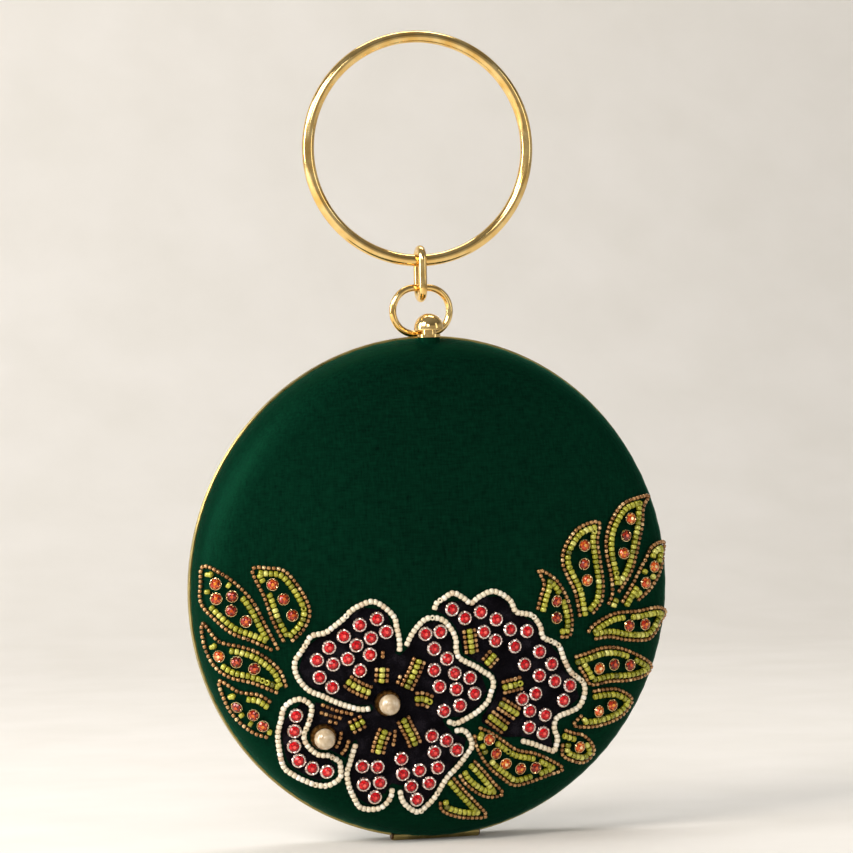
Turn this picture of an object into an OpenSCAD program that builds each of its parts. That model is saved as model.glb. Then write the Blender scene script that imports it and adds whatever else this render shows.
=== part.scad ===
// Round evening bag. Two domed satin halves in thin metal rims, hinged at the foot and closed by a
// press latch under a ball button; a beaded and jewelled spray on the front; a ring handle hung on
// a long link and a small ring.
// Frame: +X to the viewer's right with the front facing -Y, +Z up, origin on the flat under the hinge.

/* [Case] */
// Outer diameter over the two metal rims
case_d = 190; // [160:1:220]
// Depth of each half at its crown, rim included
half_depth = 26; // [22:0.5:32]
// Radius of the shoulder where the dome turns down to the rim
shoulder_r = 15; // [12:0.5:18]
// Thickness of the satin with its backing
cover_t = 0.8; // [0.6:0.1:1.2]
// Thickness of the padding under the satin
padding_t = 1.8; // [1.2:0.1:2.6]
// Wall of the stiff pressed shell
shell_t = 1.6; // [1.2:0.1:2.2]
// Thickness of the lining
lining_t = 0.8; // [0.5:0.1:1.2]

/* [Metal rims and hinge] */
// Width of each rim, measured away from the seam
rim_w = 1.1; // [0.9:0.1:1.8]
// How far the rims stand out past the satin
rim_proud = 0.7; // [0.4:0.1:1.2]
// How far the rims reach in past the lining
rim_ledge = 0.3; // [0.2:0.1:1]
// Chamfer along the rims' outer edges
rim_chamfer = 0.2; // [0.1:0.05:0.35]
// Height of the rims' lowest point over the base
rim_lift = 0.4; // [0.2:0.05:0.8]
// Overall length of the hinge barrel
hinge_len = 34; // [26:1:44]
// Diameter of the hinge barrel
hinge_d = 3.8; // [3.4:0.1:4.6]
// Amount the barrel is flattened underneath
hinge_flat = 0.15; // [0.1:0.05:0.3]
// Length of the middle knuckle
hinge_mid = 10; // [6:0.5:14]
// Side gap between two knuckles
hinge_gap = 0.15; // [0.1:0.05:0.3]
// Room between the barrel and what swings past it
hinge_room = 0.3; // [0.3:0.05:0.6]
// Diameter of the hinge pin
pin_d = 1.8; // [1.4:0.1:2.2]
// Radial running fit of the hinge pin
pin_fit = 0.05; // [0.02:0.01:0.08]
// Diameter of the pin's peened heads
pin_head_d = 2.8; // [2.4:0.1:3.2]
// Thickness of the pin's peened heads
pin_head_t = 0.6; // [0.4:0.1:1]

/* [Ball button and latch] */
// Diameter of the ball
ball_d = 11; // [9:0.5:13]
// Distance of the button's axis from the seam
button_set = 5; // [4.6:0.1:6]
// How far the flat under the ball lies below its centre
ball_flat_drop = 0.7; // [0.4:0.1:1.5]
// Travel of the button
press_travel = 1.5; // [1:0.1:2]
// Gap left under the ball when it is pressed home
press_spare = 0.2; // [0.1:0.05:0.4]
// Diameter of the neck under the ball
neck_d = 5.4; // [5:0.1:6]
// How far the neck reaches down into the collar
neck_in = 0.8; // [0.5:0.1:1.2]
// Diameter of the button's stem
stem_d = 3.1; // [2.6:0.1:3.4]
// Radial running fit of the stem in its bore
stem_fit = 0.08; // [0.04:0.01:0.1]
// Radial room round the neck in the collar
neck_room = 0.2; // [0.15:0.05:0.35]
// How far the collar's flange stands out round its boss
collar_lip = 0.3; // [0.2:0.05:0.8]
// Thickness of the collar's flange
collar_t = 1; // [0.8:0.1:1.4]
// Height of the flange's top over the rims
collar_proud = 0.6; // [0.5:0.05:0.9]
// How far the boss's round bites into the rim's plane, where it is cut flat
boss_bite = 0.2; // [0.1:0.05:0.4]
// How far the boss reaches in past the lining
boss_drop = 2.1; // [1.6:0.1:2.6]
// Thickness of metal under the spring
seat_t = 3.6; // [2.8:0.1:4]
// Wire diameter of the button's spring
spring_wire = 0.5; // [0.4:0.05:0.6]
// Mean diameter of the button's spring
spring_d = 4.4; // [4.2:0.1:4.6]
// Number of turns of the button's spring
spring_turns = 4; // [3:0.5:5]
// Thickness of the latch plate
latch_t = 1.2; // [1:0.1:1.6]
// Width of the latch plate along the rim
latch_w = 6; // [4:0.5:8]
// Reach of the latch plate behind the stem's axis
latch_tail = 2.5; // [2.2:0.1:3]
// Height of the latch nose over the plate
nose_h = 0.9; // [0.6:0.1:1.2]
// Thickness of the latch nose
nose_t = 1; // [0.8:0.1:1.4]
// Gap between the nose's top and the keeper's lip
latch_clear = 0.3; // [0.3:0.05:0.5]
// Thickness of the keeper's lip
keeper_t = 0.8; // [0.6:0.1:0.9]
// Width of the keeper along the rim
keeper_w = 7; // [5:0.5:10]

/* [Rings and handle] */
// Wire diameter of the small ring
ring_wire = 2.7; // [2.2:0.1:3]
// Outer width of the small ring
ring_w = 25.35; // [24:0.05:30]
// Outer height of the small ring
ring_h = 20.15; // [19:0.05:23]
// Distance of the ring's lug behind the seam
lug_set = 3.6; // [3.5:0.1:4.4]
// Height of the lug's bore over the rims
lug_rise = 0.8; // [0.7:0.1:1.6]
// Outer diameter of the lug
lug_d = 4.8; // [4.4:0.1:5.4]
// Length of the lug along the ring's foot
lug_len = 4.6; // [3.6:0.1:5]
// Radial running fit of the ring in its lug
lug_fit = 0.08; // [0.04:0.01:0.1]
// Wire diameter of the long link
link_wire = 3.2; // [2.6:0.1:3.4]
// Outer width of the long link
link_w = 11.8; // [11.6:0.1:14]
// Outer height of the long link
link_h = 21.7; // [20:0.1:26]
// Gap between the link's foot and the small ring's bar
link_slack = 1; // [0.4:0.1:2]
// Tube diameter of the handle
handle_wire = 4.6; // [4:0.1:4.8]
// Wall of the handle's tube
handle_wall = 1.2; // [0.8:0.1:1.6]
// Outer diameter of the handle
handle_d = 89.3; // [80:0.1:110]
// Gap between the handle and the link's top
handle_slack = 0.3; // [0.3:0.05:1]
// Turn of the link and the handle about the upright
handle_turn = -6; // [-15:1:15]

/* [Beadwork] */
// Diameter of the ivory seed beads
ivory_d = 2.2; // [1.8:0.1:2.4]
// Diameter of the green rondelles
green_d = 2.4; // [2:0.1:2.6]
// Diameter of the bronze seed beads
bronze_d = 1.5; // [1.2:0.1:1.7]
// Height of a sewn row over the cloth under it
row_gap = 0.1; // [0.05:0.05:0.2]
// Thickness of the black velvet patches
felt_t = 0.5; // [0.3:0.1:0.8]
// Thickness of the glue line under the velvet
glue_t = 0.06; // [0.05:0.01:0.1]
// Distance of the velvet's edge from the ivory row's middle
felt_inset = 1.3; // [1.2:0.1:1.8]
// Diameter of a red stone's setting
setting_d = 5.6; // [4.8:0.1:5.8]
// Height of a red stone's setting
setting_h = 1.2; // [0.9:0.1:1.8]
// Diameter of a red stone
stone_d = 3.6; // [2.8:0.1:4]
// Height of a red stone over its setting
stone_rise = 0.8; // [0.4:0.1:1.2]
// Diameter of an amber crystal's setting
chaton_d = 4.6; // [4:0.1:4.8]
// Diameter of the setting's foot
chaton_foot_d = 2.4; // [2:0.1:3]
// Height of an amber crystal's setting
chaton_h = 2.1; // [1.6:0.1:2.4]
// Diameter of an amber crystal
crystal_d = 3.9; // [3.4:0.1:4.1]
// Height of an amber crystal over its setting
crystal_rise = 1; // [0.6:0.1:1.4]
// Diameter of the two pearls
pearl_d = 8; // [6:0.5:9]
// How far a pearl's cup stands out round it
cup_w = 1; // [0.6:0.1:1.4]
// Height of a pearl's cup
cup_h = 2.2; // [1.6:0.1:3]

/* [Hidden] */
$fn = 96;

case_r = case_d / 2;
case_z = case_r + rim_lift;
top_z = case_z + case_r;
cover_r = case_r - rim_proud;
under_cover = cover_t;
under_padding = under_cover + padding_t;
under_shell = under_padding + shell_t;
wall_t = under_shell + lining_t;
rim_in_r = cover_r - wall_t - rim_ledge;

// The dome is a shallow crown arc that runs tangent into the shoulder arc.
dome_h = half_depth - rim_w;
shoulder_c = cover_r - shoulder_r;
crown_drop = (shoulder_c * shoulder_c - (dome_h - shoulder_r) * (dome_h - shoulder_r))
    / (2 * (dome_h - shoulder_r));
crown_r = crown_drop + dome_h;
tangent_a = asin(shoulder_c / (crown_r - shoulder_r));
tangent_r = crown_r * sin(tangent_a);

function dome_y(r) = rim_w + (r <= tangent_r
    ? sqrt(crown_r * crown_r - r * r) - crown_drop
    : sqrt(max(0, shoulder_r * shoulder_r - (r - shoulder_c) * (r - shoulder_c))));
function dome_tilt(r) = r <= tangent_r ? asin(r / crown_r) : asin(min(1, (r - shoulder_c) / shoulder_r));
// Height over the base of the layer under depth t, at the distance y from the seam
function layer_z(t, y) = case_z + shoulder_c + sqrt((shoulder_r - t) * (shoulder_r - t)
    - (y - rim_w) * (y - rim_w));

hinge_z = hinge_d / 2 - hinge_flat;
hinge_sweep_r = hinge_d / 2 + hinge_room;
hinge_cut_len = hinge_len + 2 * (pin_head_t + hinge_room);
side_len = (hinge_len - hinge_mid - 4 * hinge_gap) / 4;
side_x = hinge_mid / 2 + hinge_gap;
outer_x = side_x + side_len + hinge_gap;

boss_d = 2 * (button_set - rim_w + boss_bite);
collar_d = boss_d + 2 * collar_lip;
collar_top = top_z + collar_proud;
ball_flat_z = collar_top + press_travel + press_spare;
ball_z = ball_flat_z + ball_flat_drop;
boss_foot = layer_z(wall_t, button_set) - boss_drop;
seat_z = boss_foot + seat_t;
neck_foot = collar_top - neck_in;
latch_top = boss_foot - 0.1;
nose_top = latch_top + nose_h;
keeper_foot = nose_top + latch_clear;
keeper_y = 0.2;
nose_y = keeper_y + keeper_t + 0.4;

lug_z = top_z + lug_rise;
ring_end_r = (ring_h - ring_wire) / 2;
ring_bar = ring_w - ring_h;
ring_top_z = lug_z + 2 * ring_end_r;
link_end_r = (link_w - link_wire) / 2;
link_bar = link_h - link_w;
link_foot_z = ring_top_z - ring_wire / 2 - link_slack - link_wire / 2;
link_head_z = link_foot_z + link_h - link_wire;
handle_r = (handle_d - handle_wire) / 2;
handle_foot_z = link_head_z - link_wire / 2 - handle_slack - handle_wire / 2;

// The spray is laid out in millimetres from the middle of the case and grows with the satin disc;
// it is drawn for a disc of 94.3 mm.
lay = cover_r / 94.3;
on_felt = glue_t + felt_t + 0.04;
chaton_floor = 0.6 * chaton_h;

// Ivory outlines of the large flower's four petals
petal_left = [[-21, -22], [-21, -18], [-22, -13], [-23, -9], [-27, -5], [-31, -3], [-35, -4], [-39, -6],
    [-42, -9], [-46, -12], [-49, -14], [-54, -15], [-56, -18], [-58, -21], [-60, -24], [-60, -28],
    [-58, -32], [-54.5, -35.5], [-50, -37.5], [-46, -39.5], [-41, -41.5], [-36, -43], [-32, -43]];
petal_top = [[-18.5, -20], [-17, -17], [-15, -14], [-12, -11], [-10, -10], [-7, -10], [-4, -11], [-2, -13],
    [0, -16], [1, -19], [1, -22], [2, -25], [5, -27], [9, -29], [12, -31], [15, -33], [16, -36], [15, -39],
    [14, -42], [11, -45], [8, -47], [4, -49], [1, -50], [-2, -49]];
petal_right = [[1, -52.8], [4.5, -52.8], [7, -55.5], [8, -59], [6, -62], [3, -66], [-1, -70], [-3, -73],
    [-6, -78], [-9, -81], [-12, -83], [-16, -81], [-18.5, -78], [-19.5, -74.5]];
petal_foot = [[-22.5, -73.5], [-23, -77], [-25.5, -80], [-29, -81], [-34, -80], [-37, -76], [-39, -72],
    [-40, -67], [-39, -63], [-38, -59], [-37, -56]];
// Closed ivory outline of the bud
bud = [[-57.5, -38.5], [-61, -39], [-64, -41.5], [-65, -46], [-66, -51], [-65, -57], [-63, -63], [-60, -66],
    [-55, -69], [-50, -71], [-46, -71], [-42.5, -68.5], [-42.5, -65], [-43, -62.5], [-47, -60], [-51, -59.5],
    [-55, -56], [-56.5, -52], [-55, -48], [-54, -44], [-54, -41]];
// Ivory outline of the side flower and its hem
side_flower = [[-7.5, -7], [-6.5, -4.5], [-4, -3], [0, -1], [4, -3], [7, -5], [10, -3], [15, -1], [19, -2],
    [23, -5], [25, -9], [29, -10], [32, -11], [35, -15], [36, -19], [40, -21], [43, -23], [45, -28],
    [48, -33], [53, -37], [54, -41], [52, -46], [48, -48], [42.5, -50], [41.5, -54], [43, -58], [42, -63]];
side_hem = [[28, -58], [33, -59.5], [38, -61.5], [42, -63]];

// Outer bronze rows of the leaves, each drawn from its stalk round its tip and back
leaves_left = [
    [[-66, -20], [-70.5, -11], [-75, -2], [-80, 4], [-86, 9], [-91, 11.5], [-92, 5], [-92, -2], [-89, -7],
        [-83, -13], [-75, -16.5], [-68, -20]],
    [[-64, -17], [-68, -9], [-71, 0], [-75, 10], [-69, 10.5], [-63, 9], [-57, 1], [-54.5, -6], [-56.5, -12],
        [-61.5, -17]],
    [[-63, -34], [-66, -27], [-73, -21], [-79, -18.5], [-87, -16], [-91.5, -9.5], [-91, -17], [-88, -25],
        [-83, -29.5], [-75, -32], [-66, -36]],
    [[-68.5, -39.5], [-73, -36.5], [-80, -35], [-86, -31], [-83, -40], [-79, -46], [-74, -50.5],
        [-69, -52.5]]];
leaves_right = [
    [[34, -9], [35.5, -4], [37, 1], [35, 6], [41, 3], [45, -2], [47.5, -8], [48.5, -14], [47.5, -19],
        [43.5, -19.5]],
    [[52, -12.5], [50, -3], [47, 3], [45, 8], [46, 14], [52, 21], [61, 23], [60, 16], [61, 8], [62, 0],
        [61, -7], [57, -11.5]],
    [[64, -8.5], [66, -4], [65.5, 3], [64, 10], [64, 17], [67, 24], [73, 30], [84, 32], [81, 28], [80, 21],
        [78, 14], [76.5, 9], [74, 3], [68.5, -4]],
    [[70, -8], [75, -1], [78.5, 4.5], [81, 8], [84.5, 13], [91, 14], [90, 10], [88, 4], [83, -3],
        [77, -7.5]],
    [[55, -18.5], [59, -15], [67, -11.8], [77, -11.4], [86, -10.5], [91, -12.5], [88, -16], [85, -20],
        [81, -22.5], [72, -22], [65, -20.5], [58, -21]],
    [[49.5, -27.5], [54, -26.5], [63, -24.5], [72, -26], [83.5, -32], [82, -35.5], [74, -37.5],
        [65, -37.5], [57, -38.3], [54, -34.5], [51.5, -31]],
    [[57.5, -41], [63, -40.5], [69, -41], [75, -45], [72, -50], [66, -53], [58, -54.5], [50, -53.5],
        [53.5, -49.5]],
    [[46, -55], [50, -56.5], [54, -57.5], [58, -61], [59, -65], [54, -68], [46, -65], [45.5, -60]],
    [[10.5, -52], [15.5, -54.3], [20.5, -57.6], [26.5, -61.5], [34, -63.3], [41, -66.5], [46, -70],
        [40, -72], [33, -74], [26, -75], [21, -72], [16, -68], [12, -63], [9.5, -58], [9, -54.5]],
    [[9, -64.5], [13.5, -69], [17.5, -73.5], [21.5, -78], [16, -79], [11, -77], [6, -73], [3.5, -69.5]],
    [[1, -70.5], [6, -76], [10.5, -80.5], [15.5, -86], [10, -86.5], [3, -85.5], [-2.5, -83],
        [-3.5, -79.5]]];

// Green stamens; each has a bronze row on either side
stamens = [
    [[-41, -32], [-38.5, -33.8], [-35.8, -35.3], [-32, -37]],
    [[-27.6, -27.5], [-28, -33.5]],
    [[-13.3, -25], [-15, -29], [-17, -33], [-18.5, -36]],
    [[-15, -40], [-12, -40], [-8.5, -41.5]],
    [[-19.5, -47], [-17.8, -50.5], [-15.8, -54], [-14.3, -57.5]],
    [[-26, -51], [-27.8, -55.5], [-28.8, -60]],
    [[-39.5, -50], [-34, -47.2]],
    [[6, -14.5], [7.2, -24]],
    [[16.3, -24.5], [12.6, -28.2]],
    [[19.5, -37.4], [27.6, -35.8]],
    [[14.2, -47.6], [17.8, -50.3], [21.4, -53]],
    [[18.5, -43], [26, -47.8]]];
// Loose bronze rows between the stamens
loose_rows = [
    [[-27.4, -21.5], [-27.5, -24.3]],
    [[-50.5, -40.5], [-45, -43], [-40.5, -44.2], [-38.2, -44.8]],
    [[-51, -43.5], [-46, -45.2], [-42.5, -46.2]],
    [[-48, -46.9], [-43.8, -48]],
    [[-42.6, -51], [-43.2, -54.5], [-44.6, -57.3]],
    [[-39.8, -54.3], [-40.8, -57.5], [-42.6, -59.8]],
    [[-22.3, -51], [-22.5, -54.5], [-23, -57.5]],
    [[-20.5, -30.5], [-22, -34.3]]];

// Red stones: those of the bud, then of the left, foot, right and top petals, then the side flower
red_stones_at = [
    [-60, -56], [-60, -50.3], [-59.5, -44.5], [-58, -61.5], [-53, -64.5], [-47.5, -66],
    [-52, -24], [-51, -30.5], [-47.5, -19.5], [-46, -25.8], [-46.3, -34.3], [-42, -15.5], [-40.6, -24],
    [-37.3, -19], [-36, -28.5], [-36, -11.5], [-31.8, -16.5], [-32.2, -22.7], [-29.5, -9.5], [-26, -14.5],
    [-33.5, -71.5], [-34.3, -64.5], [-29, -76.5], [-28.5, -65], [-27.3, -71],
    [-19.5, -62.3], [-18.7, -68.2], [-15.2, -73], [-12.8, -78.2], [-12.3, -67], [-8.3, -72.2], [-8, -54.2],
    [-6.8, -60.5], [-5.2, -66.4], [-2.2, -56.2], [2, -60],
    [-11, -15.8], [-5.2, -15.2], [-7.6, -21.5], [-7.6, -29.5], [-5.5, -35.7], [-2.6, -25.4], [-3.5, -45],
    [0.5, -31], [1.2, -37], [2.8, -43.2], [6.5, -33], [8.5, -39],
    [-0.5, -7], [4.5, -10.5], [10.8, -8.5], [12, -16], [16.7, -19.5], [17, -11.5], [22.6, -15.5],
    [24.5, -22], [29.5, -16.5], [27.8, -42], [28.5, -29], [31, -53], [31, -46.7], [33.3, -40.3],
    [34.7, -33.5], [34.7, -24.5], [36.8, -55.5], [37.5, -48.6], [39.8, -29.4], [41.2, -36], [45, -43.5],
    [47.6, -38]];
// Amber crystals, leaf by leaf
crystals_at = [
    [-87.6, 5], [-87.5, -0.5], [-83, -4.8], [-82.4, 0.8], [-77.8, -8.8],
    [-68, 4.5], [-64.2, -1.2], [-61.2, -7.2],
    [-86.3, -21.3], [-81.3, -23.6], [-75, -26.2],
    [-79.8, -40], [-74.6, -43.4], [-71.3, -47.5],
    [41.2, -5.5], [41.2, -12],
    [54, 14.5], [53.5, 8], [54.6, 1.5],
    [74.3, 23.8], [71.8, 17.5], [71, 10.5],
    [84, 5.2], [80, -0.8],
    [72.5, -16.5], [79.5, -16.5],
    [59.5, -32], [66, -31], [73, -31.7],
    [59.5, -48.5], [65.5, -46.8],
    [52, -61.7],
    [14.5, -56.6], [17.3, -62], [21.8, -65.8], [27.5, -68.4], [33.8, -68.6]];
pearls_at = [[-25.5, -41], [-49.3, -52.8]];

function unit(v) = v / norm(v);
function normal_at(p) = let (a = dome_tilt(norm(p)), t = atan2(p[1], p[0]))
    [cos(t) * sin(a), -cos(a), sin(t) * sin(a)];
// Point of the front satin over p = [x, z], lifted along the surface's normal
function on_satin(p, lift) = [p[0], -dome_y(norm(p)), case_z + p[1]] + lift * normal_at(p);

// Smooth curve through the points of p, sampled every few millimetres
function blend(a, b, c, d, t) = 0.5 * (2 * b + (c - a) * t + (2 * a - 5 * b + 4 * c - d) * t * t
    + (3 * b - a - 3 * c + d) * t * t * t);
function smooth(p, step, closed = false) = let (n = len(p), last = closed ? n - 1 : n - 2) concat(
    [for (i = [0 : last])
        let (b = p[i], c = p[(i + 1) % n],
            a = closed || i > 0 ? p[(i + n - 1) % n] : 2 * b - c,
            d = closed || i < n - 2 ? p[(i + 2) % n] : 2 * c - b,
            k = max(1, round(norm(c - b) / step)))
        for (j = [0 : k - 1]) blend(a, b, c, d, j / k)],
    closed ? [] : [p[n - 1]]);
function laid(p, step, closed = false) = smooth(lay * p, step, closed);

// Row beside another one: d to the left, without the parts that would crowd the first row
function seg_dist(q, a, b) = let (ab = b - a, t = max(0, min(1, (q - a) * ab / (ab * ab))))
    norm(q - a - t * ab);
function left_of(p, i) = let (n = len(p), t = unit(p[min(i + 1, n - 1)] - p[max(i - 1, 0)])) [-t[1], t[0]];
function beside(p, d) = let (n = len(p)) [
    for (i = [0 : n - 1])
        let (q = p[i] + d * left_of(p, i))
        if (min([for (k = [0 : n - 2]) seg_dist(q, p[k], p[k + 1])]) > 0.97 * abs(d)) q];
function turn_sign(p) = sign([for (i = [0 : len(p) - 1])
    let (a = p[i], b = p[(i + 1) % len(p)]) a[0] * b[1] - a[1] * b[0]] * [for (i = p) 1]);
function inside_of(p, d) = beside(p, turn_sign(p) * d);
// The runs of p that keep d clear of every spot and make no jump
function runs(p, spots, d, jump) = let (n = len(p),
    ok = [for (q = p) min([for (s = spots) norm(q - lay * s)]) > d],
    first = [for (i = [0 : n - 1]) if (ok[i] && (i == 0 || !ok[i - 1] || norm(p[i] - p[i - 1]) > jump)) i],
    last = [for (i = [0 : n - 1]) if (ok[i] && (i == n - 1 || !ok[i + 1] || norm(p[i + 1] - p[i]) > jump)) i])
    [for (k = [0 : len(first) - 1]) if (last[k] > first[k]) [for (i = [first[k] : last[k]]) p[i]]];

// ---------------------------------------------------------------- shared shapes

// Turns a shape revolved about Z to face the front (-1) or the back (1)
module face(side) {
    translate([0, 0, case_z])
        rotate([side < 0 ? 90 : -90, 0, 0])
            children();
}

function dome_points(t) = concat(
    [for (i = [0 : 10]) let (a = i * (90 - tangent_a) / 10)
        [shoulder_c + (shoulder_r - t) * cos(a), rim_w + (shoulder_r - t) * sin(a)]],
    [for (i = [1 : 14]) let (a = 90 - tangent_a + i * tangent_a / 14)
        [i == 14 ? 0 : (crown_r - t) * cos(a), rim_w - crown_drop + (crown_r - t) * sin(a)]]);

module dome_layer(side, t0, t1) {
    outer = dome_points(t0);
    inner = dome_points(t1);
    n = len(outer);
    face(side)
        rotate_extrude($fn = 180)
            polygon(concat(outer, [for (i = [n - 1 : -1 : 0]) inner[i]]));
}

module hinge_sweep() {
    translate([0, 0, hinge_z])
        rotate([0, 90, 0])
            cylinder(h = hinge_cut_len, r = hinge_sweep_r, center = true);
}

module front_layer(t0, t1) {
    difference() {
        dome_layer(-1, t0, t1);
        hinge_sweep();
        translate([0, -button_set, boss_foot - 8])
            cylinder(h = 30, d = boss_d);
    }
}

module lug_foot_block() {
    translate([-lug_len / 2, rim_w, layer_z(under_shell, lug_set)])
        cube([lug_len, lug_set + lug_d / 2 - rim_w, lug_z - layer_z(under_shell, lug_set)]);
}

module back_layer(t0, t1) {
    difference() {
        dome_layer(1, t0, t1);
        hinge_sweep();
        lug_foot_block();
        translate([0, lug_set, lug_z])
            rotate([0, 90, 0])
                cylinder(h = lug_len, d = lug_d, center = true);
    }
}

module knuckle(x0, len, side) {
    translate([x0, 0, hinge_z])
        rotate([0, 90, 0])
            cylinder(h = len, d = hinge_d);
    // web up to the rim
    translate([x0, side < 0 ? -rim_w : 0, hinge_z])
        cube([len, rim_w, rim_lift + case_r - rim_in_r - hinge_z - 0.6]);
}

module rim_ring(side) {
    face(side)
        rotate_extrude($fn = 180)
            polygon([[rim_in_r, 0], [case_r - rim_chamfer, 0], [case_r, rim_chamfer],
                [case_r, rim_w - rim_chamfer], [case_r - rim_chamfer, rim_w], [rim_in_r, rim_w]]);
}

module rim(side) {
    difference() {
        union() {
            difference() {
                rim_ring(side);
                hinge_sweep();
            }
            if (side > 0) {
                knuckle(-hinge_mid / 2, hinge_mid, side);
                for (m = [0, 1])
                    mirror([m, 0, 0])
                        knuckle(outer_x, side_len, side);
            } else {
                for (m = [0, 1])
                    mirror([m, 0, 0])
                        knuckle(side_x, side_len, side);
            }
        }
        translate([0, 0, hinge_z])
            rotate([0, 90, 0])
                cylinder(h = hinge_len + 10, d = pin_d + 2 * pin_fit, center = true);
        translate([-case_r, -10, -10])
            cube([case_d, 20, 10]);
    }
}

// A sewn row of beads as one strand of their diameter
module strand(path, d, lift, closed = false) {
    n = len(path);
    k = 6;
    middle = [for (p = path) on_satin(p, lift + 0.43 * d + row_gap)];
    points = [for (i = [0 : n - 1])
        let (a = middle[closed ? (i + n - 1) % n : max(i - 1, 0)],
            b = middle[closed ? (i + 1) % n : min(i + 1, n - 1)],
            t = unit(b - a), s = unit(cross(t, normal_at(path[i]))), u = cross(s, t))
        for (j = [0 : k - 1]) middle[i] + d / 2 * (cos(60 * j) * s + sin(60 * j) * u)];
    sides = [for (i = [0 : closed ? n - 1 : n - 2]) for (j = [0 : k - 1])
        [i * k + j, i * k + (j + 1) % k, ((i + 1) % n) * k + (j + 1) % k, ((i + 1) % n) * k + j]];
    caps = closed ? [] : [[for (j = [k - 1 : -1 : 0]) j], [for (j = [0 : k - 1]) (n - 1) * k + j]];
    polyhedron(points = points, faces = concat(sides, caps), convexity = 10);
}

// Puts its children on the front satin at p with their +Z along the surface's normal
module set_at(p, lift) {
    r = norm(lay * p);
    seat(p, r, dome_y(r), dome_tilt(r), lift)
        children();
}

// The same on the velvet, which keeps the crown's round where the satin turns down into the shoulder
module set_on_velvet(p, lift) {
    r = norm(lay * p);
    seat(p, r, rim_w + sqrt(crown_r * crown_r - r * r) - crown_drop, asin(r / crown_r), lift + on_felt)
        children();
}

module seat(p, r, y, tilt, lift) {
    translate([0, 0, case_z])
        rotate([0, -atan2(p[1], p[0]), 0])
            translate([r, -y, 0])
                rotate([0, 0, tilt])
                    rotate([90, 0, 0])
                        translate([0, 0, lift])
                            children();
}

// Velvet patch over the crown, cut to an outline
module velvet() {
    intersection() {
        translate([0, crown_drop - rim_w, case_z])
            difference() {
                sphere(r = crown_r + glue_t + felt_t, $fn = 360);
                sphere(r = crown_r + glue_t, $fn = 360);
            }
        translate([0, -rim_w, case_z])
            rotate([90, 0, 0])
                linear_extrude(half_depth + 10)
                    children();
    }
}

module oval_ring(bar, end_r, wire) {
    for (s = [-1, 1]) {
        translate([0, 0, s * end_r])
            rotate([0, 90, 0])
                cylinder(h = bar, d = wire, center = true);
        translate([s * bar / 2, 0, 0])
            rotate([90, 0, 0])
                rotate([0, 0, s > 0 ? -90 : 90])
                    rotate_extrude(angle = 180)
                        translate([end_r, 0])
                            circle(d = wire, $fn = 48);
    }
}

// ---------------------------------------------------------------- back half

module back_rim() {
    color("#e3c37c")
        rim(1);
}

module back_cover() {
    color("#0c4a3a")
        back_layer(0, under_cover);
}

module back_padding() {
    color("#e9e4d6")
        back_layer(under_cover, under_padding);
}

module back_shell() {
    color("#b9b4a6")
        back_layer(under_padding, under_shell);
}

module back_lining() {
    color("#12352b")
        back_layer(under_shell, wall_t);
}

module hinge_pin() {
    color("#d9b76e")
        translate([0, 0, hinge_z])
            rotate([0, 90, 0]) {
                cylinder(h = hinge_len, d = pin_d, center = true);
                for (s = [-1, 1])
                    translate([0, 0, s * (hinge_len + pin_head_t) / 2])
                        cylinder(h = pin_head_t, d = pin_head_d, center = true);
            }
}

module ring_lug() {
    color("#e3c37c")
        difference() {
            union() {
                lug_foot_block();
                translate([0, lug_set, lug_z])
                    rotate([0, 90, 0])
                        cylinder(h = lug_len, d = lug_d, center = true);
            }
            translate([0, lug_set, lug_z])
                rotate([0, 90, 0])
                    cylinder(h = lug_len + 2, d = ring_wire + 2 * lug_fit, center = true);
        }
}

module catch_plate() {
    color("#d9b76e")
        difference() {
            translate([-keeper_w / 2, keeper_y, keeper_foot])
                cube([keeper_w, keeper_t, case_z + rim_in_r + 1 - keeper_foot]);
            difference() {
                face(1)
                    translate([0, 0, -1])
                        cylinder(h = rim_w + 2, r = case_r + 5, $fn = 180);
                face(1)
                    translate([0, 0, -2])
                        cylinder(h = rim_w + 4, r = rim_in_r, $fn = 180);
            }
        }
}

// ---------------------------------------------------------------- front half

module front_rim() {
    color("#e3c37c")
        rim(-1);
}

module front_cover() {
    color("#0c4a3a")
        front_layer(0, under_cover);
}

module front_padding() {
    color("#e9e4d6")
        front_layer(under_cover, under_padding);
}

module front_shell() {
    color("#b9b4a6")
        front_layer(under_padding, under_shell);
}

module front_lining() {
    color("#12352b")
        front_layer(under_shell, wall_t);
}

module button_collar() {
    color("#e3c37c")
        difference() {
            union() {
                translate([0, -button_set, boss_foot])
                    cylinder(h = collar_top - boss_foot, d = boss_d);
                translate([0, -button_set, collar_top - collar_t])
                    cylinder(h = collar_t, d = collar_d);
            }
            // flat against the rim
            translate([-collar_d, -rim_w, boss_foot - 1])
                cube([2 * collar_d, collar_d, collar_top - boss_foot + 2]);
            translate([0, -button_set, seat_z])
                cylinder(h = collar_top - seat_z + 1, d = neck_d + 2 * neck_room);
            translate([0, -button_set, boss_foot - 1])
                cylinder(h = seat_z - boss_foot + 2, d = stem_d + 2 * stem_fit);
        }
}

module button_ball() {
    color("#e8ca84")
        translate([0, -button_set, 0]) {
            difference() {
                translate([0, 0, ball_z])
                    sphere(d = ball_d);
                translate([-ball_d, -ball_d, ball_flat_z - ball_d])
                    cube([2 * ball_d, 2 * ball_d, ball_d]);
            }
            translate([0, 0, neck_foot])
                cylinder(h = ball_z - neck_foot, d = neck_d);
            translate([0, 0, latch_top - latch_t])
                cylinder(h = ball_z - latch_top + latch_t, d = stem_d);
        }
}

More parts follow.
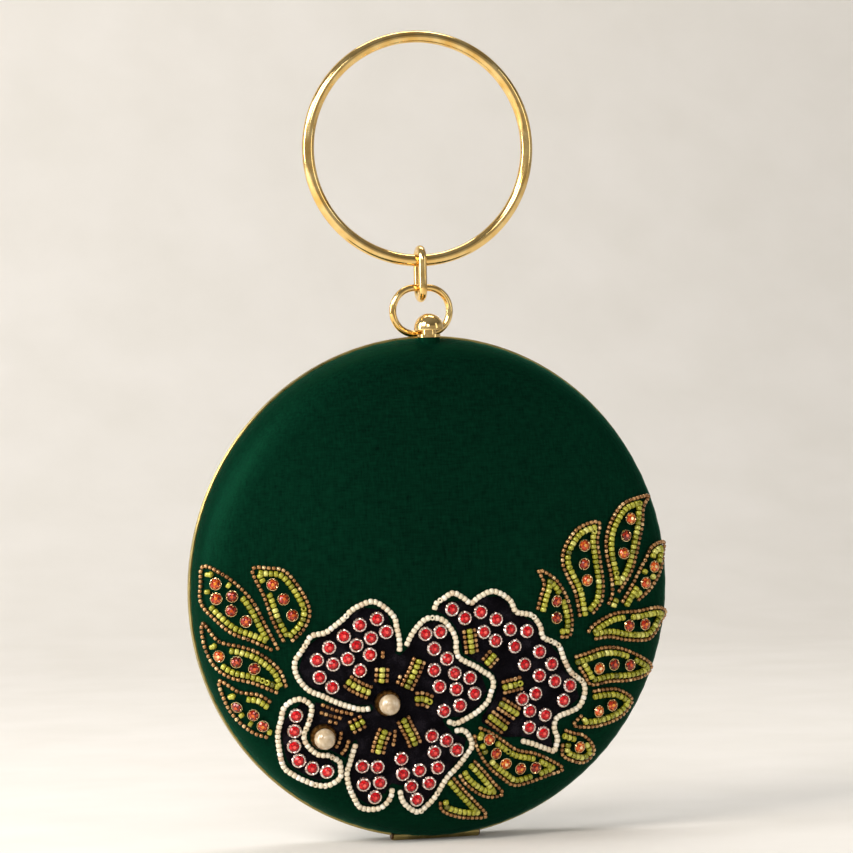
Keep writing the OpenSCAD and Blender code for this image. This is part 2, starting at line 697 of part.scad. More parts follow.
module latch_plate() {
    color("#d9b76e")
        difference() {
            union() {
                translate([-latch_w / 2, -button_set - latch_tail, latch_top - latch_t])
                    cube([latch_w, button_set + latch_tail + nose_y + nose_t, latch_t]);
                translate([-latch_w / 2, nose_y, latch_top - latch_t])
                    cube([latch_w, nose_t, nose_top - latch_top + latch_t]);
            }
            translate([0, -button_set, latch_top - latch_t - 1])
                cylinder(h = latch_t + 2, d = stem_d);
        }
}

// Open coil between the collar's seat and the neck
module button_spring() {
    steps = 14;
    sides = 8;
    count = round(spring_turns * steps);
    rise = neck_foot - seat_z - spring_wire;
    points = [for (i = [0 : count])
        let (a = 360 * i / steps, z = seat_z + spring_wire / 2 + rise * i / count)
        for (j = [0 : sides - 1]) let (w = 360 * j / sides, q = spring_d / 2 + spring_wire / 2 * cos(w))
            [q * cos(a), q * sin(a) - button_set, z + spring_wire / 2 * sin(w)]];
    faces = concat(
        [for (i = [0 : count - 1]) for (j = [0 : sides - 1]) let (m = i * sides, k = (j + 1) % sides)
            [m + j, m + sides + j, m + sides + k, m + k]],
        [[for (j = [0 : sides - 1]) j]], [[for (j = [sides - 1 : -1 : 0]) count * sides + j]]);
    color("#c9c9c9")
        polyhedron(points = points, faces = faces, convexity = 10);
}

// ---------------------------------------------------------------- rings and handle

module small_ring() {
    color("#e8ca84")
        translate([0, lug_set, lug_z + ring_end_r])
            oval_ring(ring_bar, ring_end_r, ring_wire);
}

module link() {
    color("#e8ca84")
        translate([0, lug_set, (link_foot_z + link_head_z) / 2])
            rotate([0, 0, handle_turn])
                rotate([0, 0, 90])
                    rotate([0, 90, 0])
                        oval_ring(link_bar, link_end_r, link_wire);
}

// A ring of drawn tube, bent round and brazed shut; it is hollow, so that it isn't top-heavy
module handle_ring() {
    color("#e8ca84")
        translate([0, lug_set, handle_foot_z + handle_r])
            rotate([0, 0, handle_turn])
                rotate([90, 0, 0])
                    difference() {
                        handle_round(handle_wire);
                        handle_round(handle_wire - 2 * handle_wall);
                    }
}

module handle_round(d) {
    rotate_extrude($fn = 180)
        translate([handle_r, 0])
            circle(d = d, $fn = 48);
}

// ---------------------------------------------------------------- velvet and beadwork

row_step = 4.2;
edge_step = 3.2;

module edge_felt(outline, side) {
    polygon(beside(laid(outline, edge_step), side * felt_inset));
}

module flower_felt() {
    color("#15131a")
        velvet() {
            edge_felt(petal_left, 1);
            edge_felt(petal_top, -1);
            edge_felt(petal_right, -1);
            edge_felt(petal_foot, -1);
            // the heart, and the bed of the rows beside the bud
            polygon(lay * [[-33, -40], [-35, -36], [-26, -21.5], [-23.2, -20], [-22.4, -22.8],
                [-20.5, -23.6], [-18.3, -21.7],
                [-16.5, -19.5], [-14, -21], [-3, -46], [-3.7, -49], [-2.5, -50.7], [-0.6, -52.6], [1, -55],
                [-17, -72.5], [-19.5, -72.8], [-22.5, -71.8], [-24.3, -73.5], [-25, -76], [-34.5, -62],
                [-35.5, -57], [-37, -54.4], [-39, -56.5], [-40.6, -61.4], [-46, -58.5], [-50.3, -57.6],
                [-52.8, -55.2], [-54.5, -52], [-53.6, -48], [-52.5, -43.5], [-52.4, -40], [-46, -41.3],
                [-36, -44.8], [-31.8, -44.6], [-30.3, -43], [-32, -41]]);
        }
}

module side_flower_felt() {
    color("#15131a")
        velvet()
            polygon(concat(beside(laid(side_flower, edge_step), -felt_inset), lay * [[39, -60.8], [33, -58],
                [28.5, -56.7], [21, -56.5], [12, -50.3], [12.2, -48], [15.5, -43.5], [17, -41],
                [18.2, -36], [16.5, -32], [12, -28.5], [7, -25.8], [4, -23.5], [3, -18], [1, -13.5],
                [-3, -9.3]]));
}

module bud_felt() {
    color("#15131a")
        velvet()
            polygon(beside(laid(bud, edge_step, true), felt_inset));
}

module petal_edge(outline, closed = false) {
    color("#efe3c8")
        strand(laid(outline, edge_step, closed), ivory_d, 0, closed);
}

module ivory_left_petal() {
    petal_edge(petal_left);
}

module ivory_top_petal() {
    petal_edge(petal_top);
}

module ivory_right_petal() {
    petal_edge(petal_right);
}

module ivory_foot_petal() {
    petal_edge(petal_foot);
}

module ivory_bud() {
    petal_edge(bud, true);
}

module ivory_side_flower() {
    petal_edge(side_flower);
    petal_edge(side_hem);
}

row_pitch = (green_d + bronze_d) / 2 + 0.15;
leaf_step = 2.4;
bend_step = 2.1;
crystal_room = (chaton_d + green_d) / 2 - 0.4;

module stamen_greens() {
    color("#a3a02c")
        for (s = stamens)
            strand(laid(s, row_step), green_d, on_felt);
}

module stamen_bronzes() {
    color("#b9825a") {
        for (s = stamens)
            for (d = [-1, 1])
                strand(beside(laid(s, row_step), d * row_pitch), bronze_d, on_felt);
        for (s = loose_rows)
            strand(laid(s, row_step), bronze_d, on_felt);
    }
}

module leaf_edges(leaves) {
    color("#b9825a")
        for (f = leaves)
            strand(laid(f, bend_step), bronze_d, 0);
}

module leaf_greens(leaves) {
    color("#a3a02c")
        for (f = leaves)
            for (run = runs(inside_of(laid(f, leaf_step), row_pitch), crystals_at, crystal_room,
                1.4 * leaf_step))
                strand(run, green_d, 0);
}

module bronze_leaves_left() {
    leaf_edges(leaves_left);
}

module bronze_leaves_right() {
    leaf_edges(leaves_right);
}

module green_leaves_left() {
    leaf_greens(leaves_left);
}

module green_leaves_right() {
    leaf_greens(leaves_right);
}

module red_settings() {
    color("#e9dfd2")
        for (p = red_stones_at)
            set_on_velvet(p, 0)
                difference() {
                    cylinder(h = setting_h, d1 = setting_d, d2 = setting_d - 0.6, $fn = 24);
                    translate([0, 0, -1])
                        cylinder(h = setting_h + 2, d = stone_d, $fn = 24);
                }
}

module red_stones() {
    color("#a3121f")
        for (p = red_stones_at)
            set_on_velvet(p, 0) {
                cylinder(h = setting_h, d = stone_d, $fn = 24);
                translate([0, 0, setting_h])
                    cylinder(h = stone_rise, d1 = stone_d, d2 = 0.55 * stone_d, $fn = 24);
            }
}

module crystal_settings() {
    color("#e3c37c")
        for (p = crystals_at)
            set_at(p, row_gap)
                difference() {
                    cylinder(h = chaton_h, d1 = chaton_foot_d, d2 = chaton_d, $fn = 24);
                    translate([0, 0, chaton_floor])
                        cylinder(h = chaton_h, d = crystal_d - 0.6, $fn = 24);
                }
}

module amber_crystals() {
    color("#e07b1c")
        for (p = crystals_at)
            set_at(p, row_gap) {
                translate([0, 0, chaton_floor])
                    cylinder(h = chaton_h - chaton_floor, d = crystal_d - 0.6, $fn = 24);
                translate([0, 0, chaton_h])
                    cylinder(h = crystal_rise, d1 = crystal_d, d2 = 0.5 * crystal_d, $fn = 24);
            }
}

module pearls() {
    color("#d8cbb8")
        for (p = pearls_at)
            set_on_velvet(p, 0.3 + pearl_d / 2)
                sphere(d = pearl_d);
}

module pearl_cups() {
    color("#6b5334")
        for (p = pearls_at)
            set_on_velvet(p, 0)
                difference() {
                    cylinder(h = cup_h, d = pearl_d + 2 * cup_w);
                    translate([0, 0, 0.3 + pearl_d / 2])
                        sphere(d = pearl_d);
                }
}

// ---------------------------------------------------------------- nodes

back_rim();
back_cover();
back_padding();
back_shell();
back_lining();
hinge_pin();
ring_lug();
catch_plate();
front_rim();
front_cover();
front_padding();
front_shell();
front_lining();
button_collar();
button_ball();
latch_plate();
button_spring();
small_ring();
link();
handle_ring();
flower_felt();
side_flower_felt();
bud_felt();
ivory_left_petal();
ivory_top_petal();
ivory_right_petal();
ivory_foot_petal();
ivory_bud();
ivory_side_flower();
stamen_greens();
stamen_bronzes();
bronze_leaves_left();
bronze_leaves_right();
green_leaves_left();
green_leaves_right();
red_settings();
red_stones();
crystal_settings();
amber_crystals();
pearls();
pearl_cups();
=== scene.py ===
"""Looks of the round beaded evening bag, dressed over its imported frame.

Lengths are in millimetres until a piece is finished, when its mesh goes to metres.
The front faces -Y, +X is to its viewer's right, and the case stands on Z = 0.
"""

import math
import random

import bmesh
import bpy
from mathutils import Matrix, Vector, noise


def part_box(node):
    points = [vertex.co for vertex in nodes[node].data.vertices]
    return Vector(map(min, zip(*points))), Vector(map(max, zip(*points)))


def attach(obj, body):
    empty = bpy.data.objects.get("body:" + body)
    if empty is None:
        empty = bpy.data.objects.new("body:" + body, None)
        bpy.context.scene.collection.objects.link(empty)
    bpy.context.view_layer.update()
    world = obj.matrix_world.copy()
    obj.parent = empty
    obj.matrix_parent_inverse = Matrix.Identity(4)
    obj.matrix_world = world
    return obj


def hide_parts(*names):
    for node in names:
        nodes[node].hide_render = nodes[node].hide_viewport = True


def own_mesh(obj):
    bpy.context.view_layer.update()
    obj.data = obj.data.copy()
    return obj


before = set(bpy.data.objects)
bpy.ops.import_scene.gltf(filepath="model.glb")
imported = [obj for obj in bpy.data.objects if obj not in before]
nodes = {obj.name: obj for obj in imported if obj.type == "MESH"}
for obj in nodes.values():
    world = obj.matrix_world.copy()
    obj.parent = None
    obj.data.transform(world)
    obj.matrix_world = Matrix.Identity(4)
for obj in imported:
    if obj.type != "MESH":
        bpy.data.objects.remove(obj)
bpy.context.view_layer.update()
scene = bpy.context.scene
chance = random.Random(7)

# ---------------------------------------------------------------- sizes, as in the part's source

rim_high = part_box("front_rim")[1]
cover_low, cover_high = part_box("front_cover")
case_r = 1000 * rim_high.x
case_z = 1000 * rim_high.z - case_r
cover_r = 1000 * cover_high.x
half_depth = -1000 * cover_low.y
rim_w = 1.1
shoulder_r = 15.0
cover_t = 0.8
padding_t = 1.8
shell_t = 1.6
lining_t = 0.8

dome_h = half_depth - rim_w
shoulder_c = cover_r - shoulder_r
crown_drop = (shoulder_c ** 2 - (dome_h - shoulder_r) ** 2) / (2 * (dome_h - shoulder_r))
crown_r = crown_drop + dome_h
tangent_a = math.asin(shoulder_c / (crown_r - shoulder_r))
tangent_r = crown_r * math.sin(tangent_a)

lug_set = 3.6
lug_z = 191.2
ring_wire, ring_end_r, ring_bar = 2.7, 8.725, 5.2
link_wire, link_end_r, link_bar = 3.2, 4.3, 9.9
link_foot_z, link_head_z = 204.7, 223.2
handle_wire, handle_r, handle_foot_z = 4.6, 42.35, 219.0
handle_turn = math.radians(-6)
hinge_z, hinge_room_r, hinge_room_x = 1.75, 2.5, 18.4
flange_m = 0.1899

ivory_d, green_d, bronze_d = 2.2, 2.4, 1.5
ivory_step, green_step, bronze_step, stamen_step = 1.8, 1.9, 1.85, 1.8
row_pitch = (green_d + bronze_d) / 2 + 0.15
on_felt, on_cloth = 0.6, 0.05
crystal_room, row_break = 3.1, 3.4
pearl_r, pearl_lift = 4.0, 4.3
velvet_top, velvet_foot, pile_swing = 0.5, 0.06, 0.07
weld = 0.0005
full_turn = 2 * math.pi

# The layout is drawn for a cover of this radius, and lay fits it to the cover's own
layout_r = 94.3
lay = cover_r / layout_r

# ---------------------------------------------------------------- layout of the spray
# Millimetres from the middle of the case, [across, up], as in the part's source.

# Ivory outlines of the large flower's four petals
petal_left = [
    [-21, -22], [-21, -18], [-22, -13], [-23, -9], [-27, -5], [-31, -3], [-35, -4], [-39, -6],
    [-42, -9], [-46, -12], [-49, -14], [-54, -15], [-56, -18], [-58, -21], [-60, -24], [-60, -28],
    [-58, -32], [-54.5, -35.5], [-50, -37.5], [-46, -39.5], [-41, -41.5], [-36, -43], [-32, -43]
]
petal_top = [
    [-18.5, -20], [-17, -17], [-15, -14], [-12, -11], [-10, -10], [-7, -10], [-4, -11], [-2, -13],
    [0, -16], [1, -19], [1, -22], [2, -25], [5, -27], [9, -29], [12, -31], [15, -33], [16, -36],
    [15, -39], [14, -42], [11, -45], [8, -47], [4, -49], [1, -50], [-2, -49]
]
petal_right = [
    [1, -52.8], [4.5, -52.8], [7, -55.5], [8, -59], [6, -62], [3, -66], [-1, -70], [-3, -73],
    [-6, -78], [-9, -81], [-12, -83], [-16, -81], [-18.5, -78], [-19.5, -74.5]
]
petal_foot = [
    [-22.5, -73.5], [-23, -77], [-25.5, -80], [-29, -81], [-34, -80], [-37, -76], [-39, -72],
    [-40, -67], [-39, -63], [-38, -59], [-37, -56]
]
# Closed ivory outline of the bud
bud = [
    [-57.5, -38.5], [-61, -39], [-64, -41.5], [-65, -46], [-66, -51], [-65, -57], [-63, -63],
    [-60, -66], [-55, -69], [-50, -71], [-46, -71], [-42.5, -68.5], [-42.5, -65], [-43, -62.5],
    [-47, -60], [-51, -59.5], [-55, -56], [-56.5, -52], [-55, -48], [-54, -44], [-54, -41]
]
# Ivory outline of the side flower, and its hem
side_flower = [
    [-7.5, -7], [-6.5, -4.5], [-4, -3], [0, -1], [4, -3], [7, -5], [10, -3], [15, -1], [19, -2],
    [23, -5], [25, -9], [29, -10], [32, -11], [35, -15], [36, -19], [40, -21], [43, -23], [45, -28],
    [48, -33], [53, -37], [54, -41], [52, -46], [48, -48], [42.5, -50], [41.5, -54], [43, -58],
    [42, -63]
]
side_hem = [
    [28, -58], [33, -59.5], [38, -61.5], [42, -63]
]
# Outer bronze row of each leaf, from its stalk round its tip and back
leaves_left = [
    [[-66, -20], [-70.5, -11], [-75, -2], [-80, 4], [-86, 9], [-91, 11.5], [-92, 5], [-92, -2],
     [-89, -7], [-83, -13], [-75, -16.5], [-68, -20]],
    [[-64, -17], [-68, -9], [-71, 0], [-75, 10], [-69, 10.5], [-63, 9], [-57, 1], [-54.5, -6],
     [-56.5, -12], [-61.5, -17]],
    [[-63, -34], [-66, -27], [-73, -21], [-79, -18.5], [-87, -16], [-91.5, -9.5], [-91, -17],
     [-88, -25], [-83, -29.5], [-75, -32], [-66, -36]],
    [[-68.5, -39.5], [-73, -36.5], [-80, -35], [-86, -31], [-83, -40], [-79, -46], [-74, -50.5],
     [-69, -52.5]],
]
leaves_right = [
    [[34, -9], [35.5, -4], [37, 1], [35, 6], [41, 3], [45, -2], [47.5, -8], [48.5, -14], [47.5, -19],
     [43.5, -19.5]],
    [[52, -12.5], [50, -3], [47, 3], [45, 8], [46, 14], [52, 21], [61, 23], [60, 16], [61, 8],
     [62, 0], [61, -7], [57, -11.5]],
    [[64, -8.5], [66, -4], [65.5, 3], [64, 10], [64, 17], [67, 24], [73, 30], [84, 32], [81, 28],
     [80, 21], [78, 14], [76.5, 9], [74, 3], [68.5, -4]],
    [[70, -8], [75, -1], [78.5, 4.5], [81, 8], [84.5, 13], [91, 14], [90, 10], [88, 4], [83, -3],
     [77, -7.5]],
    [[55, -18.5], [59, -15], [67, -11.8], [77, -11.4], [86, -10.5], [91, -12.5], [88, -16], [85, -20],
     [81, -22.5], [72, -22], [65, -20.5], [58, -21]],
    [[49.5, -27.5], [54, -26.5], [63, -24.5], [72, -26], [83.5, -32], [82, -35.5], [74, -37.5],
     [65, -37.5], [57, -38.3], [54, -34.5], [51.5, -31]],
    [[57.5, -41], [63, -40.5], [69, -41], [75, -45], [72, -50], [66, -53], [58, -54.5], [50, -53.5],
     [53.5, -49.5]],
    [[46, -55], [50, -56.5], [54, -57.5], [58, -61], [59, -65], [54, -68], [46, -65], [45.5, -60]],
    [[10.5, -52], [15.5, -54.3], [20.5, -57.6], [26.5, -61.5], [34, -63.3], [41, -66.5], [46, -70],
     [40, -72], [33, -74], [26, -75], [21, -72], [16, -68], [12, -63], [9.5, -58], [9, -54.5]],
    [[9, -64.5], [13.5, -69], [17.5, -73.5], [21.5, -78], [16, -79], [11, -77], [6, -73], [3.5, -69.5]],
    [[1, -70.5], [6, -76], [10.5, -80.5], [15.5, -86], [10, -86.5], [3, -85.5], [-2.5, -83],
     [-3.5, -79.5]],
]
# Green stamens, each with a bronze row on either side
stamens = [
    [[-41, -32], [-38.5, -33.8], [-35.8, -35.3], [-32, -37]],
    [[-27.6, -27.5], [-28, -33.5]],
    [[-13.3, -25], [-15, -29], [-17, -33], [-18.5, -36]],
    [[-15, -40], [-12, -40], [-8.5, -41.5]],
    [[-19.5, -47], [-17.8, -50.5], [-15.8, -54], [-14.3, -57.5]],
    [[-26, -51], [-27.8, -55.5], [-28.8, -60]],
    [[-39.5, -50], [-34, -47.2]],
    [[6, -14.5], [7.2, -24]],
    [[16.3, -24.5], [12.6, -28.2]],
    [[19.5, -37.4], [27.6, -35.8]],
    [[14.2, -47.6], [17.8, -50.3], [21.4, -53]],
    [[18.5, -43], [26, -47.8]],
]
# Loose bronze rows between the stamens
loose_rows = [
    [[-27.4, -21.5], [-27.5, -24.3]],
    [[-50.5, -40.5], [-45, -43], [-40.5, -44.2], [-38.2, -44.8]],
    [[-51, -43.5], [-46, -45.2], [-42.5, -46.2]],
    [[-48, -46.9], [-43.8, -48]],
    [[-42.6, -51], [-43.2, -54.5], [-44.6, -57.3]],
    [[-39.8, -54.3], [-40.8, -57.5], [-42.6, -59.8]],
    [[-22.3, -51], [-22.5, -54.5], [-23, -57.5]],
    [[-20.5, -30.5], [-22, -34.3]],
]
# Red stones, then the crystals of the leaves and the two pearls
red_stones_at = [
    [-60, -56], [-60, -50.3], [-59.5, -44.5], [-58, -61.5], [-53, -64.5], [-47.5, -66], [-52, -24],
    [-51, -30.5], [-47.5, -19.5], [-46, -25.8], [-46.3, -34.3], [-42, -15.5], [-40.6, -24],
    [-37.3, -19], [-36, -28.5], [-36, -11.5], [-31.8, -16.5], [-32.2, -22.7], [-29.5, -9.5],
    [-26, -14.5], [-33.5, -71.5], [-34.3, -64.5], [-29, -76.5], [-28.5, -65], [-27.3, -71],
    [-19.5, -62.3], [-18.7, -68.2], [-15.2, -73], [-12.8, -78.2], [-12.3, -67], [-8.3, -72.2],
    [-8, -54.2], [-6.8, -60.5], [-5.2, -66.4], [-2.2, -56.2], [2, -60], [-11, -15.8], [-5.2, -15.2],
    [-7.6, -21.5], [-7.6, -29.5], [-5.5, -35.7], [-2.6, -25.4], [-3.5, -45], [0.5, -31], [1.2, -37],
    [2.8, -43.2], [6.5, -33], [8.5, -39], [-0.5, -7], [4.5, -10.5], [10.8, -8.5], [12, -16],
    [16.7, -19.5], [17, -11.5], [22.6, -15.5], [24.5, -22], [29.5, -16.5], [27.8, -42], [28.5, -29],
    [31, -53], [31, -46.7], [33.3, -40.3], [34.7, -33.5], [34.7, -24.5], [36.8, -55.5], [37.5, -48.6],
    [39.8, -29.4], [41.2, -36], [45, -43.5], [47.6, -38]
]
crystals_at = [
    [-87.6, 5], [-87.5, -0.5], [-83, -4.8], [-82.4, 0.8], [-77.8, -8.8], [-68, 4.5], [-64.2, -1.2],
    [-61.2, -7.2], [-86.3, -21.3], [-81.3, -23.6], [-75, -26.2], [-79.8, -40], [-74.6, -43.4],
    [-71.3, -47.5], [41.2, -5.5], [41.2, -12], [54, 14.5], [53.5, 8], [54.6, 1.5], [74.3, 23.8],
    [71.8, 17.5], [71, 10.5], [84, 5.2], [80, -0.8], [72.5, -16.5], [79.5, -16.5], [59.5, -32],
    [66, -31], [73, -31.7], [59.5, -48.5], [65.5, -46.8], [52, -61.7], [14.5, -56.6], [17.3, -62],
    [21.8, -65.8], [27.5, -68.4], [33.8, -68.6]
]
pearls_at = [
    [-25.5, -41], [-49.3, -52.8]
]

# ---------------------------------------------------------------- the dome and the rows on it


def dome_y(r):
    """How far the front satin stands out from the seam at the radius r."""
    if r <= tangent_r:
        return rim_w + math.sqrt(crown_r ** 2 - r * r) - crown_drop
    return rim_w + math.sqrt(max(0.0, shoulder_r ** 2 - (r - shoulder_c) ** 2))


def dome_tilt(r):
    if r <= tangent_r:
        return math.asin(r / crown_r)
    return math.asin(min(1.0, (r - shoulder_c) / shoulder_r))


def normal_at(x, z, tilt):
    t = math.atan2(z, x)
    return Vector((math.cos(t) * math.sin(tilt), -math.cos(tilt), math.sin(t) * math.sin(tilt)))


def on_satin(x, z, lift):
    """Point of the front satin over (x, z), lifted along its normal, and that normal."""
    r = math.hypot(x, z)
    normal = normal_at(x, z, dome_tilt(r))
    return Vector((x, -dome_y(r), case_z + z)) + lift * normal, normal


def on_velvet(x, z, lift):
    """The same on the velvet, which keeps the crown's round out to the shoulder."""
    r = math.hypot(x, z)
    normal = normal_at(x, z, math.asin(r / crown_r))
    depth = rim_w + math.sqrt(crown_r ** 2 - r * r) - crown_drop
    return Vector((x, -depth, case_z + z)) + (lift + on_felt) * normal, normal


def smooth(spots, step, closed=False):
    """Even curve through the spots of the layout."""
    spots = [Vector(s) * lay for s in spots]
    n = len(spots)
    row = []
    for i in range(n if closed else n - 1):
        b, c = spots[i], spots[(i + 1) % n]
        a = spots[i - 1] if closed or i > 0 else 2 * b - c
        d = spots[(i + 2) % n] if closed or i < n - 2 else 2 * c - b
        count = max(1, round((c - b).length / step))
        for j in range(count):
            t = j / count
            row.append(0.5 * (2 * b + (c - a) * t + (2 * a - 5 * b + 4 * c - d) * t * t
                              + (3 * b - a - 3 * c + d) * t ** 3))
    if not closed:
        row.append(spots[-1])
    return row


def away(spot, row):
    """Distance of a spot from a row."""
    best = 1e9
    for a, b in zip(row, row[1:]):
        ab = b - a
        t = max(0.0, min(1.0, (spot - a).dot(ab) / ab.length_squared))
        best = min(best, (spot - a - t * ab).length)
    return best


def beside(row, gap):
    """Row that runs beside another one, gap to its left, without the parts that crowd it."""
    kept = []
    for i, spot in enumerate(row):
        along = (row[min(i + 1, len(row) - 1)] - row[max(i - 1, 0)]).normalized()
        moved = spot + gap * Vector((-along.y, along.x))
        if away(moved, row) > 0.97 * abs(gap):
            kept.append(moved)
    return kept


def inside_of(row, gap):
    turn = sum(a.x * b.y - b.x * a.y for a, b in zip(row, row[1:] + row[:1]))
    return beside(row, math.copysign(gap, turn))


def runs(row, spots, room, jump):
    """The stretches of a row that keep clear of every spot."""
    found, run = [], []
    for spot in row:
        clear = min((spot - Vector(s) * lay).length for s in spots) > room
        if run and (not clear or (spot - run[-1]).length > jump):
            found.append(run)
            run = []
        if clear:
            run.append(spot)
    found.append(run)
    return [run for run in found if len(run) > 1]


# ---------------------------------------------------------------- materials


def hue(code):
    """sRGB hex to the linear colour that a shader reads."""
    parts = [int(code[i:i + 2], 16) / 255 for i in (1, 3, 5)]
    return [c / 12.92 if c <= 0.04045 else ((c + 0.055) / 1.055) ** 2.4 for c in parts] + [1.0]


def add(tree, kind, settings=None, links=None):
    """Adds a node with its settings and links. A setting is a socket's or one of the node's own."""
    node = tree.nodes.new("ShaderNode" + kind)
    for key, value in (settings or {}).items():
        if key == "stops":
            ramp = node.color_ramp
            for place, colour in value[1:-1]:
                ramp.elements.new(place)
            for element, (place, colour) in zip(ramp.elements, value):
                element.position = place
                element.color = colour
        elif isinstance(key, int) or key in node.inputs:
            node.inputs[key].default_value = value
        else:
            setattr(node, key, value)
    for key, socket in (links or {}).items():
        tree.links.new(socket, node.inputs[key])
    return node


def finish(name, settings):
    """New material with its shader's constants; returns the material, its tree and its shader."""
    material = bpy.data.materials.new(name)
    material.use_nodes = True
    shader = material.node_tree.nodes["Principled BSDF"]
    for key, value in settings.items():
        shader.inputs[key].default_value = value
    return material, material.node_tree, shader


def grain(tree, size, stretch=(1, 1, 1), detail=2.0, turn=(0, 0, 0)):
    """Noise in object space whose spots measure about size mm, longer along a stretched axis."""
    place = add(tree, "TexCoord").outputs["Object"]
    scale = [1000.0 / (size * s) for s in stretch]
    mapped = add(tree, "Mapping", {"Scale": scale, "Rotation": turn}, {"Vector": place})
    return add(tree, "TexNoise", {"Scale": 1.0, "Detail": detail},
               {"Vector": mapped.outputs["Vector"]}).outputs["Fac"]


def ramp(tree, stops, value):
    """Colour that a value picks from stops, each a place with its sRGB hex."""
    stops = [(place, hue(code)) for place, code in stops]
    return add(tree, "ValToRGB", {"stops": stops}, {"Fac": value}).outputs["Color"]


def tint(tree, shader, stops, value):
    tree.links.new(ramp(tree, stops, value), shader.inputs["Base Color"])


def roughen(tree, shader, value, low, high, least=0.0, most=1.0):
    """Roughness from low to high while the value goes from least to most."""
    rough = add(tree, "MapRange", {"From Min": least, "From Max": most, "To Min": low,
                                   "To Max": high}, {"Value": value})
    tree.links.new(rough.outputs["Result"], shader.inputs["Roughness"])


def emboss(tree, shader, height, strength, depth):
    """Bump from a height, with its depth in metres."""
    bump = add(tree, "Bump", {"Strength": strength, "Distance": depth}, {"Height": height})
    tree.links.new(bump.outputs["Normal"], shader.inputs["Normal"])


def specked(tree, shade, speck, weight):
    """A shade that a noise moves up and down by half the weight."""
    mixed = add(tree, "Math", {"operation": "MULTIPLY_ADD", 1: weight}, {0: speck, 2: shade})
    return add(tree, "Math", {"operation": "SUBTRACT", 1: weight / 2},
               {0: mixed.outputs[0]}).outputs[0]


def emerald_satin(name, light, dark, wrinkle):
    # Woven silk satin, calendered: nearly black green seen straight on, opening to emerald where
    # it turns to the light. Real threads are 0.15 mm apart; they are drawn 0.6 mm so that they show.
    material, tree, shader = finish(name, {"Metallic": 0.5, "Sheen Weight": 0.35,
                                           "Sheen Roughness": 0.45, "Sheen Tint": hue("#0B7E5C"),
                                           "Specular IOR Level": 0.03,
                                           "Specular Tint": hue("#1E9A74")})
    weft = grain(tree, 0.6, (8, 1, 1))
    warp = grain(tree, 0.6, (1, 1, 8))
    cloud = grain(tree, 40, detail=1.0)
    threads = add(tree, "Math", {"operation": "ADD"}, {0: weft, 1: warp}).outputs[0]
    mixed = add(tree, "Math", {"operation": "MULTIPLY_ADD", 1: 0.3}, {0: cloud, 2: threads})
    spread = add(tree, "MapRange", {"From Min": 0.8, "From Max": 1.5}, {"Value": mixed.outputs[0]})
    tint(tree, shader, [(0.0, dark), (1.0, light)], spread.outputs["Result"])
    roughen(tree, shader, threads, 0.4, 0.56, 0.7, 1.3)
    fine = add(tree, "Bump", {"Strength": 0.3, "Distance": 0.00006}, {"Height": threads})
    soft = add(tree, "Bump", {"Strength": wrinkle, "Distance": 0.001},
               {"Height": grain(tree, 14, (1, 1, 2.2), 1.0), "Normal": fine.outputs["Normal"]})
    tree.links.new(soft.outputs["Normal"], shader.inputs["Normal"])
    return material


def plated(name, base, rough_low, rough_high):
    # Brass with polished pale gold plate: hard, warm reflections with a faint haze where it is
    # handled, and hairline scratches that only show inside the highlights.
    material, tree, shader = finish(name, {"Metallic": 1.0})
    haze = grain(tree, 5, detail=3.0)
    tint(tree, shader, [(0.3, base[0]), (0.7, base[1])], haze)
    roughen(tree, shader, haze, rough_low, rough_high, 0.3, 0.7)
    emboss(tree, shader, grain(tree, 0.35, (1, 1, 14), 1.0, (0, 0.5, 0.3)), 0.12, 0.00003)
    return material


def seed_glass(name, stops, settings):
    # Pressed and tumbled glass beads: each one a slightly different batch shade, glossy, and
    # mottled where the surface is not quite round.
    material, tree, shader = finish(name, settings)
    shade = add(tree, "Attribute", {"attribute_name": "shade"}).outputs["Fac"]
    mottle = grain(tree, 0.9, detail=2.0)
    tint(tree, shader, stops, specked(tree, shade, mottle, 0.35))
    emboss(tree, shader, mottle, 0.3, 0.00012)
    return material


def cut_glass(name, stops, settings):
    # Foil-backed cut glass with painted reflections: each facet's painted shade picks a colour, so
    # neighbours jump from nearly black to a painted highlight, a bright flash of the stone's own colour.
    material, tree, shader = finish(name, settings)
    facet = add(tree, "Attribute", {"attribute_name": "shade"}).outputs["Fac"]
    tint(tree, shader, stops, specked(tree, facet, grain(tree, 1.1, detail=1.0), 0.3))
    return material


def black_velvet():
    # Silk velvet, short pile: almost black straight on, with a cold violet bloom where the pile
    # leans, and small uneven tufts. The pile is drawn at 0.5 mm so that it shows.
    material, tree, shader = finish("black_velvet", {"Roughness": 0.95, "Sheen Weight": 0.1,
                                                     "Sheen Roughness": 0.5,
                                                     "Sheen Tint": hue("#5A4F66"),
                                                     "Specular IOR Level": 0.06})
    tuft = grain(tree, 0.5, detail=3.0)
    lean = grain(tree, 6, detail=2.0)
    mixed = add(tree, "Math", {"operation": "MULTIPLY_ADD", 1: 0.6}, {0: tuft, 2: lean})
    tint(tree, shader, [(0.55, "#030204"), (0.85, "#0C0A0F"), (1.0, "#1D1A20")], mixed.outputs[0])
    emboss(tree, shader, tuft, 0.8, 0.0003)
    return material


def pearl_lustre():
    # Nacre over a core: a creamy champagne body under a clear glossy skin with a soft warm shift
    # in patches of a few millimetres.
    material, tree, shader = finish("champagne_pearl", {"Roughness": 0.22, "Coat Weight": 0.7,
                                                        "Coat Roughness": 0.08,
                                                        "Specular IOR Level": 0.6})
    cloud = grain(tree, 2.5, detail=3.0)
    tint(tree, shader, [(0.3, "#A58C6C"), (0.5, "#BFAA8A"), (0.72, "#DCCCB2")], cloud)
    emboss(tree, shader, cloud, 0.15, 0.0002)
    return material


